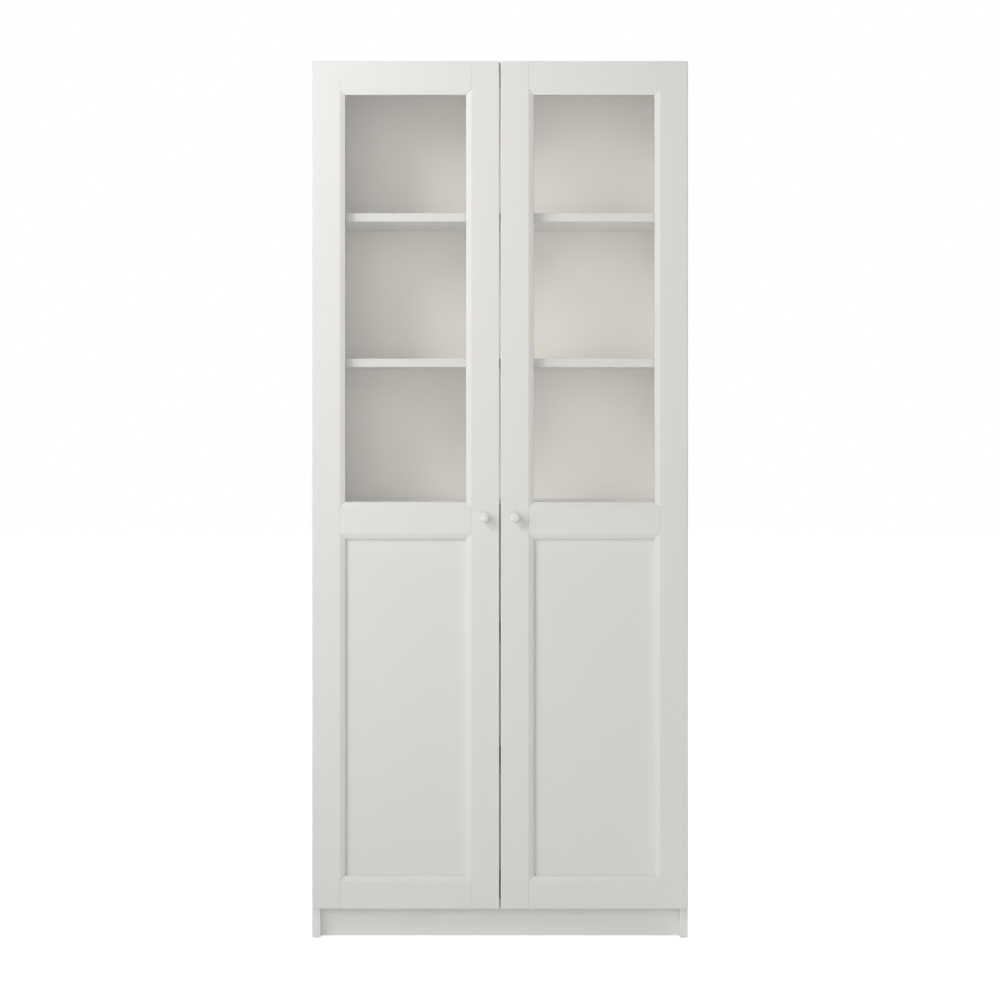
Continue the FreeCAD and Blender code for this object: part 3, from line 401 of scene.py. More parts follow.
def merged(node):
    """A CAD node's solids with their loose triangles joined into whole faces."""
    solid = bmesh.new()
    solid.from_mesh(frame["nodes"][node].data)
    bmesh.ops.remove_doubles(solid, verts=solid.verts, dist=WELD)
    bmesh.ops.dissolve_limit(solid, angle_limit=FLAT_ANGLE, verts=solid.verts, edges=solid.edges)
    return solid


def evaluated_mesh(piece, name):
    """The mesh that a piece's modifiers make of it."""
    graph = bpy.context.evaluated_depsgraph_get()
    graph.update()
    mesh = bpy.data.meshes.new_from_object(piece.evaluated_get(graph), depsgraph=graph)
    mesh.name = name
    return mesh


def applied(name, mesh, modifiers):
    """The mesh after the given modifiers, each as its kind and its settings."""
    working = put("working", mesh)
    for kind, settings in modifiers:
        modifier = working.modifiers.new(kind.lower(), kind)
        for setting, value in settings.items():
            setattr(modifier, setting, value)
    made = evaluated_mesh(working, name)
    bpy.data.objects.remove(working)
    bpy.data.meshes.remove(mesh)
    return made


def smooth_faces(solid, broad=None):
    """Smooth faces with hard edges where they turn sharply, or slightly between two that are broad."""
    for face in solid.faces:
        face.smooth = True
    for edge in solid.edges:
        if len(edge.link_faces) == 2:
            turn = edge.calc_face_angle()
            edge.smooth = turn < SHARP_ANGLE
            if broad and turn > SLIGHT_ANGLE:
                widths = [face.calc_area() / edge.calc_length() for face in edge.link_faces]
                edge.smooth = edge.smooth and min(widths) < broad


def closed_mesh(name, solid):
    """A shape's own mesh, with its faces turned outward."""
    bmesh.ops.recalc_face_normals(solid, faces=solid.faces)
    smooth_faces(solid)
    mesh = bpy.data.meshes.new(name)
    solid.to_mesh(mesh)
    solid.free()
    return mesh


def eased_mesh(node, width, share=None, segments=2, broad=None):
    """A CAD node's mesh with its sharp outer edges eased, each by its own share of the width."""
    solid = merged(node)
    smooth_faces(solid, broad)
    weights = solid.edges.layers.float.new("bevel_weight_edge")
    for edge in solid.edges:
        if not edge.smooth and edge.is_convex:
            edge[weights] = share(edge) if share else 1.0
            edge.smooth = True
    mesh = bpy.data.meshes.new(node)
    solid.to_mesh(mesh)
    solid.free()
    bevel = {
        "limit_method": "WEIGHT", "width": width, "segments": segments, "use_clamp_overlap": False,
        "miter_outer": "MITER_SHARP", "loop_slide": False,
    }
    return applied(node + "_eased", mesh, [("BEVEL", bevel), ("WEIGHTED_NORMAL", {"keep_sharp": True})])


def ease(node, material, width, share=None, segments=2, broad=None):
    return place_piece(node + "_eased", eased_mesh(node, width, share, segments, broad), material, node)


def frame_share(edge):
    """The full ease on the outer arrises, less on the moulding's edges and where stile and rail meet."""
    sizes = bpy.context.scene.bookcase_sizes
    if edge.calc_face_angle() < SHARP_ANGLE:
        return sizes.moulding_ease / sizes.frame_ease
    for face in edge.link_faces:
        across, depth, up = (abs(part) for part in face.normal)
        mitred = depth < AXIS_SLACK and abs(across - up) < AXIS_SLACK
        end = across > 1 - AXIS_SLACK and joint_plane(face)
        if mitred or end:
            return sizes.joint_ease / sizes.frame_ease
    return 1.0


def joint_plane(face):
    """Whether a face lies where the rails end against the stiles."""
    reach = abs(face.calc_center_median().x)
    return any(abs(reach + corner.x) < 0.05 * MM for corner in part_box("left_door_top_rail"))


# Turned and repeated fittings.


class Seat:
    """Where one fastener of a group lies: its outer end, its direction and its sizes."""

    def __init__(self, corners, axis):
        low = Vector(min(corner[i] for corner in corners) for i in range(3))
        high = Vector(max(corner[i] for corner in corners) for i in range(3))
        middle = (low + high) / 2
        self.length = high[axis] - low[axis]

        def widest(start, end):
            reach = [
                (Vector(corner) - middle).length_squared - (corner[axis] - middle[axis]) ** 2
                for corner in corners
                if low[axis] + start * self.length <= corner[axis] <= low[axis] + end * self.length
            ]
            return math.sqrt(max(reach, default=0))

        head_low = widest(0, 0.45) >= widest(0.55, 1)
        self.radius = widest(0, 1)
        self.tip_radius = widest(0.55, 1) if head_low else widest(0, 0.45)
        self.direction = Vector()
        self.direction[axis] = 1 if head_low else -1
        self.start = middle.copy()
        self.start[axis] = low[axis] if head_low else high[axis]


def seats(node, axis):
    """The fasteners of a group node, all lying along one axis."""
    solid = merged(node)
    waiting = dict.fromkeys(solid.verts)
    found = []
    while waiting:
        island = [waiting.popitem()[0]]
        for corner in island:
            for edge in corner.link_edges:
                other = edge.other_vert(corner)
                if other in waiting:
                    del waiting[other]
                    island.append(other)
        found.append(Seat([tuple(corner.co) for corner in island], axis))
    solid.free()
    return found


class Pattern(Tree):
    """A geometry node tree that makes one fitting along +Z and repeats it on every point."""

    def __init__(self, name, **sizes):
        old = bpy.data.node_groups.get(name)
        if old:
            bpy.data.node_groups.remove(old)
        group = bpy.data.node_groups.new(name, "GeometryNodeTree")
        super().__init__(group)
        self.group = group
        group.interface.new_socket("Geometry", in_out="INPUT", socket_type="NodeSocketGeometry")
        group.interface.new_socket("Geometry", in_out="OUTPUT", socket_type="NodeSocketGeometry")
        for size, default in sizes.items():
            socket = group.interface.new_socket(
                size.replace("_", " ").title(), in_out="INPUT", socket_type="NodeSocketFloat"
            )
            socket.subtype = "DISTANCE"
            socket.default_value = default
        group.interface.new_socket("Finish", in_out="INPUT", socket_type="NodeSocketMaterial")
        self.given = self.node("NodeGroupInput")

    def sizes(self, *names):
        return [Number(self, self.given.outputs[name.replace("_", " ").title()]) for name in names]

    def point(self, x=0.0, y=0.0, z=0.0):
        return self.first("ShaderNodeCombineXYZ", {0: x, 1: y, 2: z})

    def joined(self, parts):
        return self.first("GeometryNodeJoinGeometry", {0: parts})

    def moved(self, part, place, rotation=(0, 0, 0)):
        inputs = {"Geometry": part, "Translation": place, "Rotation": rotation}
        return self.first("GeometryNodeTransform", inputs)

    def turned(self, stations, around=20):
        """A shape turned about Z through (height, radius) stations."""
        rings = []
        for (low, low_radius), (high, high_radius) in zip(stations, stations[1:]):
            sizes = {"Radius Bottom": low_radius, "Radius Top": high_radius, "Depth": high - low}
            ring = self.node("GeometryNodeMeshCone", {"fill_type": "NONE"}, {"Vertices": around, **sizes})
            rings.append(self.moved(ring.outputs["Mesh"], self.point(z=low)))
        inputs = {"Geometry": self.joined(rings), "Distance": WELD}
        return self.first("GeometryNodeMergeByDistance", inputs)

    def thread(self, core, crest, start, run, around):
        """Rings from the core to the crest of a thread, one pitch apart along the run."""
        (pitch,) = self.sizes("thread_pitch")
        ridge = self.turned(
            [
                (0.0, core * 0.8), (0.0, core), (pitch * 0.3, crest), (pitch * 0.6, core),
                (pitch * 0.6, core * 0.8), (0.0, core * 0.8),
            ],
            around,
        )
        count = self.first("FunctionNodeFloatToInt", {0: run / pitch})
        points = self.first(
            "GeometryNodeMeshLine",
            {"Count": count, "Start Location": self.point(z=start), "Offset": self.point(z=pitch)},
        )
        rings = self.first("GeometryNodeInstanceOnPoints", {"Points": points, "Instance": ridge})
        return self.first("GeometryNodeRealizeInstances", {"Geometry": rings})

    def repeat_on_points(self, fitting):
        """Stand the fitting on every point, along its direction, and give it its finish."""
        given = self.given.outputs
        kind = {"data_type": "FLOAT_VECTOR"}
        direction = self.first("GeometryNodeInputNamedAttribute", {"Name": "direction"}, kind)
        turn = self.first("FunctionNodeAlignRotationToVector", {"Vector": direction}, {"axis": "Z"})
        points = self.first("GeometryNodeMeshToPoints", {"Mesh": given["Geometry"]})
        copies = self.first(
            "GeometryNodeInstanceOnPoints", {"Points": points, "Instance": fitting, "Rotation": turn}
        )
        real = self.first("GeometryNodeRealizeInstances", {"Geometry": copies})
        finished = self.first("GeometryNodeSetMaterial", {"Geometry": real, "Material": given["Finish"]})
        self.node("NodeGroupOutput", None, {0: finished})


def screw_pattern():
    """Pan-head screw with a cross recess and a rolled thread."""
    tree = Pattern(
        "Pan Head Screws", head_radius=3.6 * MM, head_height=2.2 * MM, shank_radius=1.75 * MM,
        length=18 * MM, thread_pitch=1.4 * MM, recess_reach=2 * MM, recess_width=1 * MM,
    )
    head, height, length, shank = tree.sizes("head_radius", "head_height", "length", "shank_radius")
    core = shank * 0.78
    body = tree.turned(
        [
            (0.0, 0.0), (0.0, head * 0.45), (height * 0.12, head * 0.72), (height * 0.34, head * 0.92),
            (height * 0.6, head), (height, head), (height, shank), (height + shank * 0.8, shank),
            (height + shank * 0.8, core), (length - shank * 1.6, core), (length, 0.0),
        ]
    )
    reach, width = tree.sizes("recess_reach", "recess_width")
    arm = tree.point(reach * 2, width, height * 1.1)
    cross = [
        tree.moved(tree.first("GeometryNodeMeshCube", {"Size": arm}), (0, 0, 0), (0, 0, turn))
        for turn in (0, math.pi / 2)
    ]
    exact = {"operation": "DIFFERENCE", "solver": "EXACT"}
    cut = tree.first("GeometryNodeMeshBoolean", {"Mesh 1": body, "Mesh 2": cross}, exact)
    ridges = tree.thread(core, shank, height + shank, length - height - shank * 3, 14)
    tree.repeat_on_points(tree.joined([cut, ridges]))
    return tree


def nail_pattern():
    """Flat-head panel nail."""
    tree = Pattern(
        "Panel Nails", head_radius=2.2 * MM, head_height=0.8 * MM, shank_radius=0.75 * MM, length=23 * MM
    )
    head, height, length, shank = tree.sizes("head_radius", "head_height", "length", "shank_radius")
    tree.repeat_on_points(
        tree.turned(
            [
                (0.0, 0.0), (0.0, head * 0.55), (height * 0.2, head * 0.86), (height * 0.55, head),
                (height, head * 0.95), (height, shank), (length - shank * 3, shank), (length, 0.0),
            ],
            14,
        )
    )
    return tree


def dowel_pattern():
    """Fluted dowel with chamfered ends."""
    tree = Pattern("Fluted Dowels", radius=4 * MM, length=30 * MM, chamfer=1 * MM, flute_depth=0.25 * MM)
    radius, length, chamfer, flute = tree.sizes("radius", "length", "chamfer", "flute_depth")
    core = radius - flute
    top = length - chamfer
    flutes = 18
    star = tree.first(
        "GeometryNodeCurveStar", {"Points": flutes, "Inner Radius": core, "Outer Radius": radius}
    )
    line = tree.first(
        "GeometryNodeCurvePrimitiveLine",
        {"Start": tree.point(z=chamfer), "End": tree.point(z=top)},
    )
    barrel = tree.first(
        "GeometryNodeCurveToMesh", {"Curve": line, "Profile Curve": star, "Fill Caps": True}
    )
    low = tree.turned([(0.0, 0.0), (0.0, radius - chamfer), (chamfer, core), (chamfer, 0.0)], flutes)
    high = tree.turned([(top, 0.0), (top, core), (length, radius - chamfer), (length, 0.0)], flutes)
    tree.repeat_on_points(tree.joined([barrel, low, high]))
    return tree


def cam_bolt_pattern():
    """Bolt that a cam pulls on: a waisted neck behind its ball end, and a coarse thread."""
    tree = Pattern(
        "Cam Bolts", head_radius=3.45 * MM, neck_radius=2.5 * MM, thread_radius=3 * MM,
        thread_length=11 * MM, length=46 * MM, thread_pitch=2 * MM,
    )
    head, neck, length = tree.sizes("head_radius", "neck_radius", "length")
    thread, thread_length = tree.sizes("thread_radius", "thread_length")
    core = thread * 0.78
    waist = neck * 0.75
    body = tree.turned(
        [
            (0.0, 0.0), (0.0, head * 0.6), (head * 0.18, head * 0.9), (head * 0.45, head),
            (head * 0.8, head * 0.85), (head * 1.05, waist), (head * 1.9, waist), (head * 2.1, neck),
            (length - thread_length, neck), (length - thread_length, core),
            (length - thread * 1.2, core), (length, thread * 0.3), (length, 0.0),
        ]
    )
    start = length - thread_length + 0.2 * MM
    ridges = tree.thread(core, thread, start, thread_length - thread * 1.2, 16)
    tree.repeat_on_points(tree.joined([body, ridges]))
    return tree


def bumper_pattern():
    """Soft domed disc."""
    tree = Pattern("Door Bumpers", radius=4 * MM, height=2.7 * MM)
    radius, height = tree.sizes("radius", "height")
    tree.repeat_on_points(
        tree.turned(
            [
                (0.0, 0.0), (0.0, radius * 0.35), (height * 0.05, radius * 0.58),
                (height * 0.2, radius * 0.8), (height * 0.45, radius * 0.94), (height * 0.7, radius),
                (height, radius), (height, 0.0),
            ],
            24,
        )
    )
    return tree


def repeat(name, tree, places, material, *nodes, **sizes):
    """Run a pattern on the given seats and keep the result as a plain mesh."""
    points = bpy.data.meshes.new(name)
    points.from_pydata([seat.start for seat in places], [], [])
    directions = points.attributes.new("direction", "FLOAT_VECTOR", "POINT")
    for item, seat in zip(directions.data, places):
        item.vector = seat.direction
    working = put("working", points)
    modifier = working.modifiers.new("pattern", "NODES")
    modifier.node_group = tree.group
    given = {"finish": material, **sizes}
    for socket in tree.group.interface.items_tree:
        key = socket.name.lower().replace(" ", "_")
        if socket.in_out == "INPUT" and key in given:
            modifier[socket.identifier] = given[key]
    mesh = evaluated_mesh(working, name)
    bpy.data.objects.remove(working)
    solid = bmesh.new()
    solid.from_mesh(mesh)
    if not solid.faces:
        raise RuntimeError(f"{name} came out empty")
    bmesh.ops.remove_doubles(solid, verts=solid.verts, dist=WELD / 2)
    bmesh.ops.recalc_face_normals(solid, faces=solid.faces)
    smooth_faces(solid)
    solid.to_mesh(mesh)
    solid.free()
    return place_piece(name, mesh, material, *nodes)


def turned_mesh(name, profile, origin, direction, around):
    """A closed shape turned about a line, through (distance, radius) points that start and end on it."""
    solid = bmesh.new()
    turn = Vector((0, 0, 1)).rotation_difference(direction).to_matrix()
    rings = []
    for distance, radius in profile:
        if radius == 0:
            rings.append([solid.verts.new(origin + turn @ Vector((0, 0, distance)))])
            continue
        ring = []
        for step in range(around):
            angle = 2 * math.pi * step / around
            corner = Vector((radius * math.cos(angle), radius * math.sin(angle), distance))
            ring.append(solid.verts.new(origin + turn @ corner))
        rings.append(ring)
    for ring, following in zip(rings, rings[1:]):
        for step in range(around):
            after = (step + 1) % around
            corners = [
                ring[step % len(ring)], ring[after % len(ring)],
                following[after % len(following)], following[step % len(following)],
            ]
            solid.faces.new(list(dict.fromkeys(corners)))
    return closed_mesh(name, solid)


def eased_profile(points, steps=5):
    """A smooth line through (distance, radius) points."""
    through = [Vector(point) for point in points]
    line = []
    for index in range(len(through) - 1):
        before = through[max(index - 1, 0)]
        start, end = through[index], through[index + 1]
        after = through[min(index + 2, len(through) - 1)]
        for step in range(steps):
            t = step / steps
            line.append(
                0.5 * (
                    2 * start + (end - before) * t
                    + (2 * before - 5 * start + 4 * end - after) * t ** 2
                    + (3 * start - before - 3 * end + after) * t ** 3
                )
            )
    line.append(through[-1])
    return [(point.x, max(point.y, 0.0)) for point in line]


# What a user would change.


def level_setting(name, description, default, **kind):
    kind = kind or {"subtype": "FACTOR"}
    return bpy.props.FloatProperty(name=name, description=description, default=default, min=0.0, **kind)


def power_setting(name, description, default):
    return level_setting(name, description, default, unit="POWER")


def length_setting(name, description, default):
    return level_setting(name, description, default, precision=5, unit="LENGTH")


def colour_setting(name, description, default):
    return bpy.props.FloatVectorProperty(
        name=name, description=description, default=default, min=0.0, max=1.0, size=3, subtype="COLOR"
    )


class BookcaseColours(bpy.types.PropertyGroup):
    """Colours of the finishes"""

    foil: colour_setting("Foil", "White foil of the carcass boards and shelves", (0.885, 0.876, 0.852))
    # Darker than the foil as painted shade for the shelf fronts, which lie in the doors' shade behind the
    # glass.
    shaded_edge_band: colour_setting("Edge Band", "Front edges of the shelves", (0.700, 0.692, 0.670))
    lacquer: colour_setting("Lacquer", "White lacquer of the doors", (0.825, 0.816, 0.790))
    knob: colour_setting("Knobs", "White lacquer of the knobs", (0.840, 0.832, 0.810))
    back: colour_setting("Back", "Printed inner side of the back panel", (0.915, 0.888, 0.843))
    hardboard: colour_setting("Hardboard", "Bare fibre behind the back panel", (0.330, 0.215, 0.125))
    chipboard: colour_setting("Chipboard", "Bare edges of the side panels", (0.450, 0.340, 0.220))
    glass: colour_setting("Glass", "Tint of the panes", (0.985, 0.985, 0.978))
    plastic: colour_setting("Plastic", "Wall brackets and foot glides", (0.930, 0.925, 0.905))
    bumper: colour_setting("Bumpers", "Clear soft plastic of the door bumpers", (0.850, 0.870, 0.860))
    nickel: colour_setting("Nickel", "Plated steel of the fittings", (0.640, 0.620, 0.590))
    zinc: colour_setting("Zinc", "Cast cams", (0.480, 0.480, 0.490))
    beech: colour_setting("Beech", "Dowels", (0.560, 0.365, 0.200))


class BookcaseSizes(bpy.types.PropertyGroup):
    """Sizes of the small shapes"""

    board_ease: length_setting("Board Edges", "Width of the ease on the boards' edges", 0.4 * MM)
    frame_ease: length_setting("Door Edges", "Width of the ease on the doors' arrises", 1.0 * MM)
    metal_ease: length_setting("Metal Edges", "Width of the ease on pressed and cast metal", 0.2 * MM)
    moulding_ease: length_setting("Moulding", "Width of the ease on the mouldings' own edges", 0.3 * MM)
    joint_ease: length_setting("Frame Joints", "Width of the ease where stile and rail meet", 0.7 * MM)
    glass_ease: length_setting("Panes", "Width of the ease on the panes' edges", 0.4 * MM)
    bead_round: length_setting("Glazing Beads", "Radius of the round on the glazing beads", 1.5 * MM)
    screw_head: length_setting("Screw Heads", "Height of the screws' heads", 2.2 * MM)
    thread_pitch: length_setting("Thread Pitch", "Rise of the screws' thread in one turn", 1.4 * MM)
    flute_depth: length_setting("Dowel Flutes", "Depth of the dowels' flutes", 0.25 * MM)
    knob_dome: length_setting("Knob Dome", "How far the knob's face is domed", 3.6 * MM)
    bracket_ease: length_setting("Brackets", "Width of the round on the wall brackets' edges", 1.4 * MM)
    glide_ease: length_setting("Glides", "Width of the ease on the foot glides' edges", 0.3 * MM)


class BookcaseStudio(bpy.types.PropertyGroup):
    """Light and floor round the bookcase"""

    front_power: power_setting("Front Lamp", "Wide soft lamp in front", 76.0)
    side_power: power_setting("Side Lamp", "Soft lamp far out on the left", 41.0)
    low_power: power_setting("Low Lamp", "Lamp on the left at half height", 8.5)
    high_power: power_setting("High Lamp", "Lamp near by on the upper left", 17.0)
    rear_power: power_setting("Rear Lamp", "Wide soft lamp high up behind on the right", 140.0)
    fill_level: level_setting("Fill Level", "Brightness of the even light from all round", 0.14)
    floor_glow: level_setting("Floor Glow", "Share of white that the floor shows by itself", 0.66)
    floor_colour: colour_setting("Floor", "Colour of the floor", (0.80, 0.80, 0.80))


# The steps that make the bookcase.


class BOOKCASE_OT_boards(bpy.types.Operator):
    """Foil-covered boards of the carcass"""

    bl_idname = "bookcase.boards"
    bl_label = "Carcass Boards"

    def execute(self, context):
        width = context.scene.bookcase_sizes.board_ease
        sides = white_foil("white_foil_sides", side_raw_edge)
        for side in SIDES:
            ease(side + "_side_panel", sides, width)
        foil = white_foil("white_foil_boards")
        for node in ("bottom_panel", "fixed_shelf", "top_panel", "plinth_board"):
            ease(node, foil, width)
        return {"FINISHED"}


class BOOKCASE_OT_shelves(bpy.types.Operator):
    """Adjustable shelves and the pins that they lie on"""

    bl_idname = "bookcase.shelves"
    bl_label = "Adjustable Shelves"

    def execute(self, context):
        sizes = context.scene.bookcase_sizes
        foil = white_foil("white_foil_shelves", band_front=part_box("adjustable_shelf_1")[0].y)
        for node in frame["nodes"]:
            if node.startswith("adjustable_shelf"):
                ease(node, foil, sizes.board_ease)
        ease("shelf_pins", plated_steel(), sizes.metal_ease)
        return {"FINISHED"}


class BOOKCASE_OT_back(bpy.types.Operator):
    """Two leaves of hardboard and the nails that hold them"""

    bl_idname = "bookcase.back"
    bl_label = "Back Panel"

    def execute(self, context):
        board = hardboard()
        for side in SIDES:
            finish_node("back_panel_" + side, board)
        nails = seats("back_panel_nails", 1)
        repeat(
            "back_panel_nails_driven", nail_pattern(), nails, plated_steel(), "back_panel_nails",
            head_radius=nails[0].radius, shank_radius=nails[0].tip_radius, length=nails[0].length,
        )
        return {"FINISHED"}


class BOOKCASE_OT_door_frames(bpy.types.Operator):
    """Stiles and rails, with a fine groove where they meet"""

    bl_idname = "bookcase.door_frames"
    bl_label = "Door Frames"

    def execute(self, context):
        width = context.scene.bookcase_sizes.frame_ease
        lacquer = door_lacquer("door_lacquer")
        for side in SIDES:
            for part in ("outer_stile", "inner_stile", "top_rail", "middle_rail", "bottom_rail"):
                ease(f"{side}_door_{part}", lacquer, width, frame_share, broad=BROAD_FACE)
        return {"FINISHED"}


class BOOKCASE_OT_door_panels(bpy.types.Operator):
    """Flat panels in the lower openings"""

    bl_idname = "bookcase.door_panels"
    bl_label = "Door Panels"

    def execute(self, context):
        lacquer = door_lacquer("panel_lacquer", 0.985)
        for side in SIDES:
            finish_node(side + "_door_panel", lacquer)
        return {"FINISHED"}


class BOOKCASE_OT_panes(bpy.types.Operator):
    """Glass panes and the mitred beads behind them"""

    bl_idname = "bookcase.panes"
    bl_label = "Glass Panes"

    def execute(self, context):
        sizes = context.scene.bookcase_sizes
        glass = clear_glass()
        lacquer = door_lacquer("door_lacquer")
        for side in SIDES:
            ease(side + "_door_glass", glass, sizes.glass_ease)
            node = side + "_door_glazing_beads"
            place_piece(node + "_mitred", mitred_beads(side, sizes.bead_round), lacquer, node)
        return {"FINISHED"}


def mitred_beads(side, radius, steps=5, open_joint=0.05 * MM):
    """Four bars behind the edges of a pane, each with a round towards the opening."""
    low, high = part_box(side + "_door_glazing_beads")
    width = high.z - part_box(side + "_door_top_rail")[0].z
    section = [(0, low.y), (width, low.y)]
    for step in range(steps + 1):
        turn = step / steps * math.pi / 2
        reach, depth = radius * math.cos(turn), radius * math.sin(turn)
        section.append((width - radius + reach, high.y - radius + depth))
    section.append((0, high.y))
    corners = [(low.x, low.z), (high.x, low.z), (high.x, high.z), (low.x, high.z)]
    solid = bmesh.new()
    for start, end in zip(corners, corners[1:] + corners[:1]):
        start, end = Vector(start), Vector(end)
        along = (end - start).normalized()
        inward = Vector((-along.y, along.x))
        ends = []
        for corner, way in ((start, along), (end, -along)):
            ring = []
            for reach, depth in section:
                place = corner + inward * reach + way * (reach + open_joint)
                ring.append(solid.verts.new((place.x, depth, place.y)))
            ends.append(ring)
            solid.faces.new(ring)
        for index in range(len(section)):
            after = (index + 1) % len(section)
            solid.faces.new((ends[0][index], ends[0][after], ends[1][after], ends[1][index]))
    return closed_mesh(side + "_door_glazing_beads", solid)


class BOOKCASE_OT_knobs(bpy.types.Operator):
    """Turned knobs"""

    bl_idname = "bookcase.knobs"
    bl_label = "Knobs"

    def execute(self, context):
        dome = context.scene.bookcase_sizes.knob_dome
        finish = knob_lacquer()
        for side in SIDES:
            low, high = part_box(side + "_knob")
            radius = (high.x - low.x) / 2
            length = high.y - low.y
            seat = Vector(((low.x + high.x) / 2, high.y, (low.z + high.z) / 2))
            line = eased_profile(
                [
                    (0.3 * MM, 0.52 * radius), (0.12 * length, 0.50 * radius),
                    (0.30 * length, 0.50 * radius), (0.40 * length, 0.62 * radius),
                    (0.47 * length, 0.86 * radius), (0.56 * length, 0.97 * radius),
                    (0.68 * length, radius), (length - dome, 0.975 * radius),
                    (length - 0.6 * dome, 0.88 * radius), (length - 0.3 * dome, 0.70 * radius),
                    (length - 0.1 * dome, 0.42 * radius), (length, 0.0),
                ]
            )
            profile = [(0.0, 0.0), (0.0, 0.53 * radius)] + line[:-1] + [(length, 0.0)]
            mesh = turned_mesh(side + "_knob_turned", profile, seat, Vector((0, -1, 0)), 72)
            place_piece(side + "_knob_turned", mesh, finish, side + "_knob")
        return {"FINISHED"}


def knob_lacquer():
    """Lacquer over turned wood, with rings left by the lathe too fine to feel."""
    finish = Finish("knob_lacquer")
    colour = finish.colours.knob
    skin = finish.noise(700)
    return finish.surface(
        Base_Color=finish.shades(finish.noise(60), colour, 0.985, 1.01),
        Roughness=0.38 + 0.08 * skin,
        Normal=finish.bump(skin, 0.02 * MM),
        Specular_IOR_Level=SATIN,
    )


class BOOKCASE_OT_hinges(bpy.types.Operator):
    """Cups, pins, arms and mounting plates of the eight hinges"""

    bl_idname = "bookcase.hinges"
    bl_label = "Hinges"

    def execute(self, context):
        steel = plated_steel()
        width = context.scene.bookcase_sizes.metal_ease
        for side in SIDES:
            for part in ("hinge_cups", "hinge_arms", "hinge_plates", "hinge_pins"):
                ease(f"{side}_{part}", steel, width)
        return {"FINISHED"}


class BOOKCASE_OT_screws(bpy.types.Operator):
    """Pan-head screws of the hinges, knobs and wall brackets"""

    bl_idname = "bookcase.screws"
    bl_label = "Screws"

    def execute(self, context):
        sizes = context.scene.bookcase_sizes
        steel = plated_steel()
        pattern = screw_pattern()
        groups = [("wall_bracket_screws", 0)]
        for side in SIDES:
            groups += [
                (side + "_hinge_cup_screws", 1), (side + "_hinge_plate_screws", 0),
                (side + "_hinge_arm_screws", 0), (side + "_knob_screw", 1),
            ]
        for node, axis in groups:
            found = seats(node, axis)
            repeat(
                node + "_cut", pattern, found, steel, node, head_radius=found[0].radius,
                shank_radius=found[0].tip_radius, length=found[0].length, head_height=sizes.screw_head,
                thread_pitch=sizes.thread_pitch,
            )
        return {"FINISHED"}


class BOOKCASE_OT_cams(bpy.types.Operator):
    """Cam locks and the bolts that they pull on"""

    bl_idname = "bookcase.cams"
    bl_label = "Cams and Bolts"

    def execute(self, context):
        ease("cam_locks", cast_zinc(), context.scene.bookcase_sizes.metal_ease)
        bolts = seats("cam_bolts", 0)
        repeat(
            "cam_bolts_turned", cam_bolt_pattern(), bolts, plated_steel(), "cam_bolts",
            length=bolts[0].length, head_radius=bolts[0].radius,
        )
        return {"FINISHED"}


class BOOKCASE_OT_dowels(bpy.types.Operator):
    """Fluted dowels of the carcass and the door frames"""

    bl_idname = "bookcase.dowels"
    bl_label = "Dowels"

    def execute(self, context):
        sizes = context.scene.bookcase_sizes
        pattern = dowel_pattern()
        wood = beech()
        for node in ("carcass_dowels", "left_door_frame_dowels", "right_door_frame_dowels"):
            found = seats(node, 0)
            repeat(
                node + "_fluted", pattern, found, wood, node, radius=found[0].radius,
                length=found[0].length, flute_depth=sizes.flute_depth,
            )
        return {"FINISHED"}


class BOOKCASE_OT_brackets(bpy.types.Operator):
    """Moulded wall brackets"""

    bl_idname = "bookcase.brackets"
    bl_label = "Wall Brackets"

    def execute(self, context):
        ease("wall_brackets", moulded_plastic(), context.scene.bookcase_sizes.bracket_ease, segments=4)
        return {"FINISHED"}


class BOOKCASE_OT_feet(bpy.types.Operator):
    """Foot glides and door bumpers"""

    bl_idname = "bookcase.feet"
    bl_label = "Glides and Bumpers"

    def execute(self, context):
        ease("foot_glides", moulded_plastic(), context.scene.bookcase_sizes.glide_ease)
        bumpers = front_first(seats("door_bumpers", 1))
        repeat(
            "door_bumpers_domed", bumper_pattern(), bumpers, clear_bumper(), "door_bumpers",
            radius=bumpers[0].radius, height=bumpers[0].length,
        )
        return {"FINISHED"}


def front_first(found):
    """The same seats, started at the end that faces the doors."""
    for seat in found:
        if seat.direction.y < 0:
            seat.start = seat.start + seat.direction * seat.length
            seat.direction = -seat.direction
    return found


class BOOKCASE_OT_studio(bpy.types.Operator):
    """Floor, lamps, white surroundings and camera"""

    bl_idname = "bookcase.studio"
    bl_label = "Studio"

    def execute(self, context):
        studio = context.scene.bookcase_studio
        lay_floor(studio)
        light_surroundings(studio)
        for lamp, (place, size) in LAMPS.items():
            hang_lamp(lamp + "_lamp", Vector(place), size, getattr(studio, lamp + "_power"))
        set_camera(context.scene)
        context.scene.view_settings.view_transform = "Standard"
        return {"FINISHED"}


